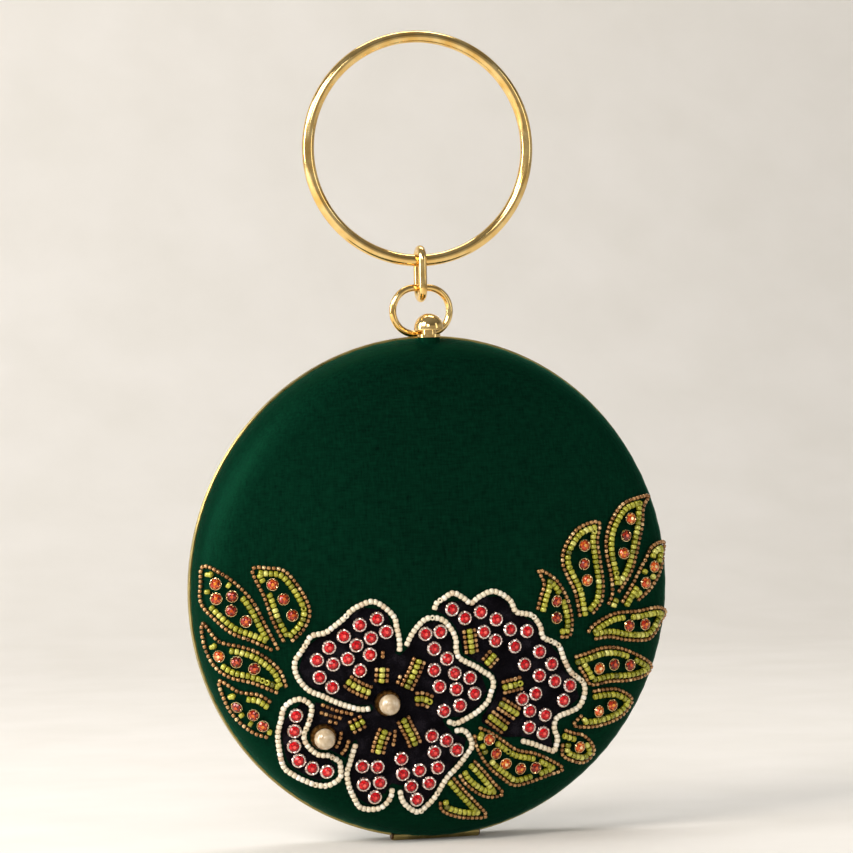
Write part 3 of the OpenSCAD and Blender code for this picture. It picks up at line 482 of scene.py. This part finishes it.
def open_foam():
    # Cut sheet of cream foam: matt, with pores of about 0.6 mm.
    material, tree, shader = finish("cream_foam", {"Roughness": 0.9})
    pores = grain(tree, 0.6, detail=3.0)
    tint(tree, shader, [(0.35, "#BDB49C"), (0.6, "#E6DFCB")], pores)
    emboss(tree, shader, pores, 0.7, 0.0003)
    return material


def pressed_board():
    # Pressed fibre shell: dull grey-buff with short flecks and a slightly scuffed face.
    material, tree, shader = finish("pressed_fibre_shell", {"Roughness": 0.7})
    flecks = grain(tree, 0.8, (5, 1, 1), 3.0)
    tint(tree, shader, [(0.35, "#8F8873"), (0.6, "#B9B29C")], flecks)
    emboss(tree, shader, flecks, 0.3, 0.0002)
    return material


def drawn_steel():
    # Bright drawn spring wire: fine die lines along it and a cool grey reflection.
    material, tree, shader = finish("bright_spring_wire", {"Metallic": 1.0})
    lines = grain(tree, 0.15, (6, 6, 1), 2.0)
    tint(tree, shader, [(0.3, "#A9ABAF"), (0.7, "#D6D8DA")], lines)
    roughen(tree, shader, lines, 0.18, 0.35)
    return material


pale_gold = ("#E6B968", "#F6D896")
satin = emerald_satin("emerald_satin", "#07301F", "#041C12", 0.08)
lining_cloth = emerald_satin("dark_green_lining", "#0E3F30", "#052018", 0.5)
gold = plated("polished_pale_gold", pale_gold, 0.09, 0.17)
dull_gold = plated("satin_pale_gold", ("#CFA55A", "#E2C081"), 0.24, 0.38)
rim_gold = plated("rubbed_rim_gold", ("#9C8C52", "#B8A66A"), 0.26, 0.38)
# Dark brass: the pearl seats' own colour, and painted shade on the hinge pin, which sits under the case
# in its shadow.
dark_brass_and_shade = plated("dark_brass_and_painted_shade", ("#4A3218", "#7A5A30"), 0.25, 0.45)
pale_silver = plated("pale_rose_silver", ("#E2C9BD", "#F8EAE2"), 0.14, 0.28)
setting_gold = plated("stone_setting_gold", ("#D9B173", "#F3DBA8"), 0.12, 0.25)
ivory_glass = seed_glass(
    "ivory_seed_glass", [(0.0, "#C9A88C"), (0.35, "#E6D6B6"), (0.7, "#F2E8D0"), (1.0, "#FFF9EC")],
    {"Roughness": 0.28, "Coat Weight": 0.3, "Coat Roughness": 0.1})
green_glass = seed_glass(
    "olive_lustre_glass", [(0.0, "#55560E"), (0.4, "#97961F"), (0.7, "#B9B63C"), (1.0, "#E0DE80")],
    {"Roughness": 0.2, "Metallic": 0.2, "Coat Weight": 0.4, "Coat Roughness": 0.08})
bronze_glass = seed_glass(
    "bronze_lustre_glass", [(0.0, "#5A3A1C"), (0.4, "#9A6A3A"), (0.7, "#C0905A"), (1.0, "#EDC792")],
    {"Roughness": 0.22, "Metallic": 0.55, "Coat Weight": 0.3, "Coat Roughness": 0.08})
# Cut-glass stops: the stones' own colour, amber's running red to yellow by crystal, with painted dark
# facets at the low end and painted highlights at the high end.
ruby_glass = cut_glass(
    "ruby_cut_glass", [(0.0, "#5E0207"), (0.35, "#B00410"), (0.72, "#E00F1A"), (1.0, "#FF6E62")],
    {"Roughness": 0.08, "Specular IOR Level": 0.35, "Coat Weight": 0.15, "Coat Roughness": 0.03})
amber_glass = cut_glass(
    "amber_cut_glass", [(0.0, "#560A04"), (0.3, "#B4260A"), (0.6, "#DA5A14"), (0.85, "#F09A2A"),
                        (1.0, "#FFE0A0")],
    {"Roughness": 0.05, "Metallic": 0.3, "Coat Weight": 0.4, "Coat Roughness": 0.03})
velvet = black_velvet()
nacre = pearl_lustre()
foam = open_foam()
fibre = pressed_board()
spring_steel = drawn_steel()

# ---------------------------------------------------------------- making a piece


def rotate(bm, angle, axis, verts=None):
    bmesh.ops.rotate(bm, cent=(0, 0, 0), matrix=Matrix.Rotation(angle, 3, axis),
                     verts=bm.verts if verts is None else verts)


def shift(bm, vec, verts=None):
    bmesh.ops.translate(bm, vec=vec, verts=bm.verts if verts is None else verts)


def spin(bm, geom, axis, angle, steps, rise=0.0, merge=True):
    bmesh.ops.spin(bm, geom=geom, cent=(0, 0, 0), axis=axis, dvec=(0, 0, rise), angle=angle,
                   steps=steps, use_merge=merge, use_duplicate=False)


def as_mesh(bm, name):
    mesh = bpy.data.meshes.new(name)
    bm.to_mesh(mesh)
    bm.free()
    return mesh


def linked(name, data):
    thing = bpy.data.objects.new(name, data)
    scene.collection.objects.link(thing)
    return thing


def keep(bm, name, body, material, stands_for, smooth_faces=True, outward=True):
    """Turns a finished form to metres and makes it the piece that stands for its node."""
    bmesh.ops.remove_doubles(bm, verts=bm.verts, dist=weld)
    if outward:
        bmesh.ops.recalc_face_normals(bm, faces=bm.faces)
    bmesh.ops.scale(bm, vec=(0.001, 0.001, 0.001), verts=bm.verts)
    for face in bm.faces:
        face.smooth = smooth_faces
    mesh = as_mesh(bm, name)
    mesh.materials.append(material)
    piece = linked(name, mesh)
    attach(piece, body)
    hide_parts(*stands_for)
    return piece


def turned(profile, steps, axis=(0, 0, 1), closed=False):
    """Form turned from a profile of (across, along) points about an axis."""
    bm = bmesh.new()
    if axis == (0, 0, 1):
        verts = [bm.verts.new((r, 0, h)) for r, h in profile]
    elif axis == (1, 0, 0):
        verts = [bm.verts.new((h, 0, r)) for r, h in profile]
    else:
        verts = [bm.verts.new((r, h, 0)) for r, h in profile]
    pairs = list(zip(verts, verts[1:])) + ([(verts[-1], verts[0])] if closed else [])
    edges = [bm.edges.new(pair) for pair in pairs]
    spin(bm, verts + edges, axis, full_turn, steps)
    bmesh.ops.remove_doubles(bm, verts=bm.verts, dist=weld)
    bmesh.ops.recalc_face_normals(bm, faces=bm.faces)
    return bm


def strew(pattern, places):
    """Copies of a pattern mesh at the places, each a matrix with its shade."""
    bm = bmesh.new()
    shade = bm.faces.layers.float.new("shade")
    for place, tone in places:
        one = pattern.copy()
        one.transform(place)
        count = len(bm.faces)
        bm.from_mesh(one)
        bpy.data.meshes.remove(one)
        bm.faces.ensure_lookup_table()
        for face in bm.faces[count:]:
            face[shade] += tone
    return bm


def placed(point, normal, along, roll=0.0, lean=0.0, lean_way=0.0):
    """Matrix with X along a row and Z along the normal, rolled, then leant a little."""
    side = normal.cross(along).normalized()
    along = side.cross(normal).normalized()
    turn = Matrix((along, side, normal)).transposed().to_4x4()
    tip = Matrix.Rotation(lean, 4, Vector((math.cos(lean_way), math.sin(lean_way), 0)))
    return Matrix.Translation(point) @ turn @ tip @ Matrix.Rotation(roll, 4, "Z")


# ---------------------------------------------------------------- beads


def bead(profile, steps=8):
    """Bead pattern with its hole along X, from (radius, along) points."""
    return as_mesh(turned(profile, steps, axis=(1, 0, 0), closed=True), "bead_pattern")


ivory_bead = bead([(0.42, -0.6), (0.78, -0.86), (1.04, -0.5), (1.1, 0), (1.04, 0.5), (0.78, 0.86),
                   (0.42, 0.6)])
green_bead = bead([(0.45, -0.5), (0.86, -0.84), (1.17, -0.5), (1.17, 0.5), (0.86, 0.84), (0.45, 0.5)])
bronze_bead = bead([(0.28, -0.5), (0.5, -0.72), (0.74, -0.4), (0.74, 0.4), (0.5, 0.72), (0.28, 0.5)])


def threaded(row, d, lift, pitch, closed=False, turned_up=0.0):
    """Places of the beads that one row carries."""
    if closed:
        row = row + row[:1]
    spots = [on_satin(p.x, p.y, lift + d / 2) for p in row]
    reach = [0.0]
    for (a, _), (b, _) in zip(spots, spots[1:]):
        reach.append(reach[-1] + (b - a).length)
    count = max(1, round(reach[-1] / pitch))
    places, k = [], 0
    for i in range(count):
        at = (i + 0.5) * reach[-1] / count
        while reach[k + 1] < at:
            k += 1
        t = (at - reach[k]) / (reach[k + 1] - reach[k])
        a, b = spots[k], spots[k + 1]
        point, normal = a[0].lerp(b[0], t), a[1].lerp(b[1], t).normalized()
        along = (b[0] - a[0]).normalized()
        roll = chance.gauss(0, 0.10)
        if chance.random() < turned_up:
            tip, way = chance.uniform(0.9, 1.4), math.pi / 2
        else:
            tip, way = chance.gauss(0, 0.09), chance.uniform(0, math.pi)
        point = point + normal * chance.uniform(-0.05, 0.06)
        places.append((placed(point, normal, along, roll, tip, way),
                       min(1.0, max(0.0, chance.gauss(0.55, 0.19)))))
    return places


def row_piece(name, rows, pattern, d, lift, pitch, material, closed=False, turned_up=0.0):
    places = []
    for row in rows:
        places += threaded(row, d, lift, pitch, closed, turned_up)
    return keep(strew(pattern, places), name, "front_half", material, [name_of[name]],
                outward=False)


name_of = {
    "ivory_row_left_petal": "ivory_left_petal", "ivory_row_top_petal": "ivory_top_petal",
    "ivory_row_right_petal": "ivory_right_petal", "ivory_row_foot_petal": "ivory_foot_petal",
    "ivory_row_bud": "ivory_bud", "ivory_rows_side_flower": "ivory_side_flower",
    "green_stamen_beads": "stamen_greens", "bronze_stamen_beads": "stamen_bronzes",
    "bronze_beads_left": "bronze_leaves_left", "bronze_beads_right": "bronze_leaves_right",
    "green_beads_left": "green_leaves_left", "green_beads_right": "green_leaves_right"}

fine = 0.6
for name, outlines, closed in (
        ("ivory_row_left_petal", [petal_left], False), ("ivory_row_top_petal", [petal_top], False),
        ("ivory_row_right_petal", [petal_right], False), ("ivory_row_foot_petal", [petal_foot], False),
        ("ivory_row_bud", [bud], True), ("ivory_rows_side_flower", [side_flower, side_hem], False)):
    row_piece(name, [smooth(o, fine, closed) for o in outlines], ivory_bead, ivory_d, on_cloth,
              ivory_step, ivory_glass, closed, turned_up=0.07)

row_piece("green_stamen_beads", [smooth(s, fine) for s in stamens], green_bead, green_d, on_felt,
          green_step, green_glass, turned_up=0.05)
row_piece("bronze_stamen_beads",
          [beside(smooth(s, fine), side * row_pitch) for s in stamens for side in (-1, 1)]
          + [smooth(s, fine) for s in loose_rows],
          bronze_bead, bronze_d, on_felt, stamen_step, bronze_glass, turned_up=0.03)
for side, leaves in (("left", leaves_left), ("right", leaves_right)):
    row_piece("bronze_beads_" + side, [smooth(leaf, fine) for leaf in leaves], bronze_bead,
              bronze_d, on_cloth, bronze_step, bronze_glass, turned_up=0.03)
    row_piece("green_beads_" + side,
              [run for leaf in leaves
               for run in runs(inside_of(smooth(leaf, fine), row_pitch), crystals_at, crystal_room,
                               row_break)],
              green_bead, green_d, on_cloth, green_step, green_glass, turned_up=0.05)

# ---------------------------------------------------------------- cut stones and their settings


def cut_stone(girdle, height, foot, crown, sides=8):
    """Faceted stone: a straight foot, a kite crown turned half a facet, and a table."""
    bm = bmesh.new()
    shade = bm.faces.layers.float.new("shade")
    bmesh.ops.create_circle(bm, cap_ends=True, radius=girdle * 0.82, segments=sides,
                            matrix=Matrix.Translation((0, 0, foot)))
    table = list(bm.faces)[0]
    turn = math.pi / sides
    for radius, z, twist in ((girdle, height, 0), (girdle * 0.8, height + crown * 0.5, turn),
                             (girdle * 0.56, height + crown * 0.85, turn),
                             (girdle * 0.32, height + crown, turn)):
        out = bmesh.ops.extrude_face_region(bm, geom=[table])
        bmesh.ops.delete(bm, geom=[table], context="FACES_ONLY")
        table = [g for g in out["geom"] if isinstance(g, bmesh.types.BMFace)][0]
        verts = list(table.verts)
        now = math.hypot(verts[0].co.x, verts[0].co.y)
        bmesh.ops.scale(bm, vec=(radius / now, radius / now, 1), verts=verts)
        shift(bm, (0, 0, z - verts[0].co.z), verts)
        rotate(bm, twist, "Z", verts)
    bmesh.ops.triangulate(bm, faces=[f for f in bm.faces if len(f.verts) == 4])
    bmesh.ops.recalc_face_normals(bm, faces=bm.faces)
    # Painted reflections: each facet gets a random painted light or dark shade, the table a fixed
    # painted highlight.
    for face in bm.faces:
        face[shade] = 0.45 if face == table else chance.uniform(-0.4, 0.34)
    return as_mesh(bm, "stone_pattern")


def notched(profile, steps, lean, drop):
    """Turned collet whose upper edge is cut into small teeth."""
    bm = turned(profile, steps, closed=True)
    top = max(v.co.z for v in bm.verts)
    for v in bm.verts:
        if v.co.z > 0.55 * top and v.co.xy.length > 0.8 * profile[0][0]:
            k = round(math.atan2(v.co.y, v.co.x) / (full_turn / steps))
            if k % 2:
                v.co.x *= lean
                v.co.y *= lean
                v.co.z -= drop
    return bm


ruby_cut = cut_stone(1.98, 1.15, 0.2, 0.9)
ruby_rim = as_mesh(notched([(2.62, 0.05), (2.78, 0.6), (2.6, 1.2), (2.28, 1.34), (2.0, 1.2), (1.9, 0.3)],
                           28, 0.93, 0.16), "rim_pattern")
chaton_cut = cut_stone(1.95, 2.15, 1.35, 1.0)


def claw_cup():
    """Open cup with four claws bent over the stone."""
    bm = notched([(1.15, 0.05), (2.2, 1.95), (2.3, 2.2), (2.12, 2.25), (1.98, 2.05), (1.5, 1.3)],
                 24, 0.965, 0.06)
    for k in range(4):
        claw = bmesh.ops.create_cube(bm, size=1.0)["verts"]
        bmesh.ops.scale(bm, vec=(0.55, 0.5, 0.9), verts=claw)
        rotate(bm, -0.55, "Y", claw)
        shift(bm, (1.95, 0, 2.3), claw)
        edges = list({e for v in claw for e in v.link_edges})
        rotate(bm, math.pi / 4 + k * math.pi / 2, "Z", claw)
        bmesh.ops.bevel(bm, geom=edges, offset=0.1, affect="EDGES", segments=1, profile=0.5,
                        material=-1)
    return as_mesh(bm, "cup_pattern")


chaton_cup = claw_cup()


def seated(spots, surface, lift, lean):
    """Places for stones: each turned at random and leaning a little in its thread."""
    places = []
    for x, z in spots:
        point, normal = surface(x * lay, z * lay, lift)
        along = normal.cross(Vector((0, 0, 1))).normalized()
        places.append((placed(point, normal, along, chance.uniform(0, math.pi),
                              abs(chance.gauss(0, lean)), chance.uniform(0, 2 * math.pi)),
                       chance.gauss(0.4, 0.07)))
    return places


ruby_places = seated(red_stones_at, on_velvet, 0.0, 0.035)
keep(strew(ruby_cut, ruby_places), "ruby_stones", "front_half", ruby_glass,
     ["red_stones"], smooth_faces=False, outward=False)
keep(strew(ruby_rim, ruby_places), "ruby_rims", "front_half", pale_silver,
     ["red_settings"], smooth_faces=False, outward=False)

amber_places = [(place, chance.choice((0.05, 0.12, 0.2, 0.28, 0.36, 0.44, 0.55)))
                for place, _ in seated(crystals_at, on_satin, 0.12, 0.10)]
keep(strew(chaton_cut, amber_places), "amber_chatons", "front_half", amber_glass,
     ["amber_crystals"], smooth_faces=False, outward=False)
keep(strew(chaton_cup, amber_places), "chaton_cups", "front_half", setting_gold,
     ["crystal_settings"], smooth_faces=False, outward=False)

# ---------------------------------------------------------------- pearls


def drilled_pearl():
    """Round pearl, a touch uneven, dimpled at the two ends of its bore."""
    bm = bmesh.new()
    bmesh.ops.create_uvsphere(bm, u_segments=48, v_segments=32, radius=pearl_r)
    for v in bm.verts:
        v.co *= 1 - 0.012 * (1 + noise.noise(v.co * 0.35))
        rim = math.hypot(v.co.y, v.co.z)
        if rim < 0.5:
            v.co.x *= 0.94
    return as_mesh(bm, "pearl_pattern")


pearl_shape = drilled_pearl()
pearl_cup_shape = as_mesh(notched([(4.35, 0.05), (5.0, 0.5), (4.95, 1.5), (4.6, 2.2), (4.1, 2.1),
                                   (3.72, 2.1), (3.0, 1.2), (1.6, 0.3)], 32, 0.955, 0.22), "cup_pattern")
pearl_places, pearl_seats = [], []
for x, z in pearls_at:
    point, normal = on_velvet(x * lay, z * lay, pearl_lift)
    along = Vector((0.8, 0, 0.6))
    pearl_places.append((placed(point, normal, along), 0.5))
    pearl_seats.append((placed(point - pearl_lift * normal, normal, along), 0.5))
keep(strew(pearl_shape, pearl_places), "champagne_pearls", "front_half", nacre, ["pearls"],
     outward=False)
keep(strew(pearl_cup_shape, pearl_seats), "pearl_seats", "front_half", dark_brass_and_shade,
     ["pearl_cups"], smooth_faces=False, outward=False)

# ---------------------------------------------------------------- velvet


def velvet_piece(name, node):
    """Velvet patch: the node's own outline, divided finely and given an uneven pile and rolled edge."""
    bm = bmesh.new()
    bm.from_mesh(nodes[node].data)
    bmesh.ops.scale(bm, vec=(1000, 1000, 1000), verts=bm.verts)
    bmesh.ops.remove_doubles(bm, verts=bm.verts, dist=0.002)
    for limit in (12.0, 6.0, 3.0, 1.6):
        long_edges = [e for e in bm.edges if e.calc_length() > limit]
        bmesh.ops.subdivide_edges(bm, edges=long_edges, cuts=1, use_grid_fill=False)
        bmesh.ops.triangulate(bm, faces=bm.faces)
    centre = Vector((0, crown_drop - rim_w, case_z))
    for v in bm.verts:
        out = v.co - centre
        if out.length - crown_r > on_felt / 2:
            height = velvet_top + pile_swing * noise.noise(v.co * 0.9)
        else:
            height = velvet_foot
        v.co = centre + out.normalized() * (crown_r + height)
    return keep(bm, name, "front_half", velvet, [node])


velvet_piece("velvet_of_flower", "flower_felt")
velvet_piece("velvet_of_side_flower", "side_flower_felt")
velvet_piece("velvet_of_bud", "bud_felt")

# ---------------------------------------------------------------- domed satin, padding and lining


def dome_profile(depth, rows):
    """Section of the dome under a depth, from the rim to the middle, as (radius, out from the seam)."""
    points = []
    for i in range(rows):
        a = i * (math.pi / 2 - tangent_a) / rows
        points.append((shoulder_c + (shoulder_r - depth) * math.cos(a),
                       rim_w + (shoulder_r - depth) * math.sin(a)))
    for i in range(2 * rows + 1):
        a = math.pi / 2 - tangent_a + i * tangent_a / (2 * rows)
        points.append((0.0 if i == 2 * rows else (crown_r - depth) * math.cos(a),
                       rim_w - crown_drop + (crown_r - depth) * math.sin(a)))
    return points


def domed(side, top, under, steps, rows, shape):
    """Domed layer between two depths; shape moves each point of one face along its normal."""
    section = dome_profile(top, rows) + dome_profile(under, rows)[::-1]
    bm = turned([(r, side * y) for r, y in section], steps, axis=(0, 1, 0), closed=True)
    middle = (top + under) / 2
    crown_c = Vector((0, side * (rim_w - crown_drop), 0))
    for v in bm.verts:
        r = math.hypot(v.co.x, v.co.z)
        around = Vector((v.co.x, 0, v.co.z)).normalized() if r > 0.01 else Vector((0, 0, 0))
        hub = around * shoulder_c + Vector((0, side * rim_w, 0))
        if r > tangent_r - 0.5:
            out = v.co - hub
            depth = shoulder_r - out.length
        else:
            out = v.co - crown_c
            depth = crown_r - out.length
        v.co += out.normalized() * shape(v.co, r, depth, middle)
    shift(bm, (0, 0, case_z))
    # Notch over the hinge barrel, wider than anything that swings past it
    for v in bm.verts:
        off = Vector((0, v.co.y, v.co.z - hinge_z))
        if abs(v.co.x) < hinge_room_x and off.length < hinge_room_r:
            v.co.y = side * max(abs(v.co.y), rim_w)
            v.co.z = hinge_z + math.sqrt(hinge_room_r ** 2 - min(v.co.y ** 2, hinge_room_r ** 2))
    return bm


def taut(point, r, depth, middle):
    """Satin drawn over the padding: shallow hollows, and small tucks where it is pulled to the rim."""
    if depth > middle:
        return 0.0
    around = math.atan2(point.z, point.x)
    hollow = -0.12 * (1 + noise.noise(point * 0.035))
    pull = max(0.0, (r - 78) / 16) ** 2
    tuck = -0.14 * pull * (0.5 + 0.5 * math.sin(84 * around + 3 * noise.noise(point * 0.05)))
    return hollow * min(1.0, (layout_r - r) / 6) + tuck


def quilted(point, r, depth, middle):
    """Foam, a little uneven in thickness."""
    return -0.1 * (1 + noise.noise(point * 0.12)) if depth < middle else 0.0


def pleated(point, r, depth, middle):
    """Lining with soft pleats that start at the rim and die out towards the middle."""
    if depth < middle:
        return 0.0
    around = math.atan2(point.z, point.x)
    strength = max(0.0, min(1.0, (r - 22) / 45)) * min(1.0, max(0.0, (90 - r) / 3))
    wave = 0.5 + 0.5 * math.sin(46 * around + 2.4 * noise.noise(point * 0.04))
    return -strength * (0.55 * wave + 0.25 * noise.noise(point * 0.11)) - 0.05


for side, half in ((-1, "front"), (1, "back")):
    body = half + "_half"
    cover = keep(domed(side, 0.0, cover_t, 300, 22, taut), half + "_satin", body, satin,
                 [half + "_cover"])
    pad = keep(domed(side, cover_t, cover_t + padding_t, 120, 10, quilted), half + "_foam", body,
               foam, [half + "_padding"])
    inner = cover_t + padding_t + shell_t
    lining = keep(domed(side, inner, inner + lining_t, 276, 20, pleated), half + "_pleated_lining",
                  body, lining_cloth, [half + "_lining"])

# ---------------------------------------------------------------- rings and handle


def wire_ring(end_r, bar, wire, steps, facets):
    """Ring bent from round wire in the X-Z plane, drawn out by a straight bar along X."""
    bm = bmesh.new()
    bmesh.ops.create_circle(bm, radius=wire / 2, segments=facets,
                            matrix=Matrix.Translation((end_r, 0, 0)))
    rotate(bm, math.pi / steps, "Y")
    spin(bm, list(bm.verts) + list(bm.edges), (0, 1, 0), full_turn, steps)
    bmesh.ops.remove_doubles(bm, verts=bm.verts, dist=weld)
    for s in (-1, 1):
        shift(bm, (s * bar / 2, 0, 0), [v for v in bm.verts if v.co.x * s > 0])
    return bm


bm = wire_ring(ring_end_r, ring_bar, ring_wire, 96, 20)
shift(bm, (0, lug_set, lug_z + ring_end_r))
keep(bm, "bent_small_ring", "small_ring", gold, ["small_ring"])

bm = wire_ring(link_end_r, link_bar, link_wire, 64, 22)
rotate(bm, math.pi / 2, "Y")
rotate(bm, math.pi / 2 + handle_turn, "Z")
shift(bm, (0, lug_set, (link_foot_z + link_head_z) / 2))
keep(bm, "bent_link", "link", gold, ["link"])

bm = wire_ring(handle_r, 0.0, handle_wire, 192, 26)
rotate(bm, handle_turn, "Z")
shift(bm, (0, lug_set, handle_foot_z + handle_r))
keep(bm, "tube_handle", "handle", gold, ["handle_ring"])

# ---------------------------------------------------------------- button's spring

spring_low, spring_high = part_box("button_spring")
spring_wire, spring_turns, turn_steps, press_travel = 0.5, 4, 28, 1.5
spring_r = 500 * (spring_high.x - spring_low.x) - spring_wire / 2
spring_y = 500 * (spring_low.y + spring_high.y)
spring_h = 1000 * (spring_high.z - spring_low.z)
bm = bmesh.new()
bmesh.ops.create_circle(bm, radius=spring_wire / 2, segments=12)
rotate(bm, math.pi / 2, "X")
shift(bm, (spring_r, 0, 1000 * spring_low.z + spring_wire / 2))
steps = spring_turns * turn_steps
spin(bm, list(bm.verts) + list(bm.edges), (0, 0, 1), full_turn * spring_turns, steps,
     rise=(spring_h - spring_wire) / steps, merge=False)
bmesh.ops.holes_fill(bm, edges=[e for e in bm.edges if e.is_boundary], sides=0)
shift(bm, (0, spring_y, 0))
spring = keep(bm, "coil_spring", "front_half", spring_steel, ["button_spring"])
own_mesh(spring)

# ---------------------------------------------------------------- finishes of the solid fittings


def satin_bound(cloth, metal, level):
    # The collar's boss is bound with the cover's satin up to its flange, so only the flange's
    # edge and top show as a thin bright plate under the ball.
    material = cloth.copy()
    material.name = "satin_bound_collar"
    tree = material.node_tree
    cloth_shader = tree.nodes["Principled BSDF"]
    plate = add(tree, "BsdfPrincipled", {"Metallic": 1.0})
    haze = grain(tree, 3, detail=3.0)
    tint(tree, plate, [(0.3, metal[0]), (0.7, metal[1])], haze)
    roughen(tree, plate, haze, 0.1, 0.2)
    up = add(tree, "SeparateXYZ", {}, {"Vector": add(tree, "TexCoord").outputs["Object"]})
    above = add(tree, "Math", {"operation": "GREATER_THAN", 1: level}, {0: up.outputs["Z"]})
    either = add(tree, "MixShader", {}, {0: above.outputs[0], 1: cloth_shader.outputs["BSDF"],
                                         2: plate.outputs["BSDF"]})
    tree.links.new(either.outputs["Shader"], tree.nodes["Material Output"].inputs["Surface"])
    return material


bound_collar = satin_bound(satin, pale_gold, flange_m)

for material, names in (
        (gold, ("button_ball", "ring_lug")), (rim_gold, ("back_rim", "front_rim")),
        # The hinge pin takes the dark brass as painted shade, under the case where its shadow falls.
        (dark_brass_and_shade, ("hinge_pin",)), (bound_collar, ("button_collar",)),
        (dull_gold, ("latch_plate", "catch_plate")),
        (fibre, ("front_shell", "back_shell"))):
    for name in names:
        for slot in nodes[name].material_slots:
            slot.material = material

# ---------------------------------------------------------------- floor, light and camera


def stage_paper():
    # Matt studio paper, faintly mottled, seen only from its front.
    material, tree, shader = finish("pale_paper", {"Roughness": 0.9, "Specular IOR Level": 0.2})
    tint(tree, shader, [(0.3, "#E9E5DE"), (0.7, "#EEEAE4")], grain(tree, 60, detail=3.0))
    behind = add(tree, "NewGeometry").outputs["Backfacing"]
    clear = add(tree, "BsdfTransparent")
    either = add(tree, "MixShader", {}, {0: behind, 1: shader.outputs["BSDF"], 2: clear.outputs["BSDF"]})
    tree.links.new(either.outputs["Shader"], tree.nodes["Material Output"].inputs["Surface"])
    return material


# The paper's sizes are in metres, like the lights' and the camera's
paper_half, paper_back, bend_r, paper_top = 4.0, 0.9, 0.6, 3.0
bm = bmesh.new()
sweep = [(-paper_half, 0.0), (paper_back, 0.0)]
sweep += [(paper_back + bend_r * math.sin(a), bend_r - bend_r * math.cos(a))
          for a in (0.2, 0.4, 0.6, 0.8, 1.0, 1.2, 1.4)]
sweep += [(paper_back + bend_r, bend_r), (paper_back + bend_r, paper_top)]
line = [bm.verts.new((-paper_half, y, z)) for y, z in sweep]
edges = [bm.edges.new(pair) for pair in zip(line, line[1:])]
out = bmesh.ops.extrude_edge_only(bm, edges=edges)
shift(bm, (2 * paper_half, 0, 0), [g for g in out["geom"] if isinstance(g, bmesh.types.BMVert)])
if list(bm.faces)[0].normal.z < 0:
    bmesh.ops.reverse_faces(bm, faces=bm.faces)
for face in bm.faces:
    face.smooth = True
mesh = as_mesh(bm, "paper_sweep")
mesh.materials.append(stage_paper())
paper = linked("paper_sweep", mesh)

world = bpy.data.worlds.new("studio")
world.use_nodes = True
scene.world = world
sky = world.node_tree
way = add(sky, "TexCoord").outputs["Generated"]
height = add(sky, "SeparateXYZ", {}, {"Vector": way}).outputs["Z"]
glow = ramp(sky, [(0.0, "#B4B2AE"), (0.18, "#C9C7C3"), (0.42, "#6E6D6B"), (1.0, "#A3A2A0")], height)
sky.links.new(glow, sky.nodes["Background"].inputs["Color"])
sky.nodes["Background"].inputs["Strength"].default_value = 0.8


def soft_light(name, place, size, power, colour="#FFFFFF", aim=(0, 0, 0.12)):
    lamp = bpy.data.lights.new(name, "AREA")
    lamp.shape = "RECTANGLE"
    lamp.size, lamp.size_y = size
    lamp.energy = power
    lamp.color = hue(colour)[:3]
    light = linked(name, lamp)
    light.location = place
    light.rotation_euler = (Vector(aim) - Vector(place)).to_track_quat("-Z", "Y").to_euler()


soft_light("key_upper_left", (-1.5, -0.75, 1.2), (0.8, 0.8), 28, "#FFF8F0")
soft_light("side_left", (-1.5, 0.1, 0.6), (0.4, 1.0), 14)
soft_light("front_left", (-0.7, -1.7, 0.9), (0.5, 0.5), 7)
soft_light("fill_right", (1.5, -1.3, 0.7), (0.4, 1.2), 3)
soft_light("top_back", (0.2, 0.5, 1.6), (1.2, 0.4), 9)

azimuth, elevation, lean = math.radians(-18.5), math.radians(1.5), math.radians(1.2)
aim = Vector((0, 0, 0.1561))
back = Vector((math.sin(azimuth) * math.cos(elevation), -math.cos(azimuth) * math.cos(elevation),
               math.sin(elevation)))
lens = bpy.data.cameras.new("long_lens")
distance, view_w, sensor_w = 1.75, 0.3229, 36
lens.sensor_width = sensor_w
lens.lens = sensor_w * distance / view_w
lens.clip_start, lens.clip_end = 0.05, 20
camera = linked("camera", lens)
camera.location = aim + distance * back
turn = (-back).to_track_quat("-Z", "Y").to_matrix() @ Matrix.Rotation(-lean, 3, "Z")
camera.rotation_euler = turn.to_euler()
scene.camera = camera
scene.view_settings.view_transform = "Standard"
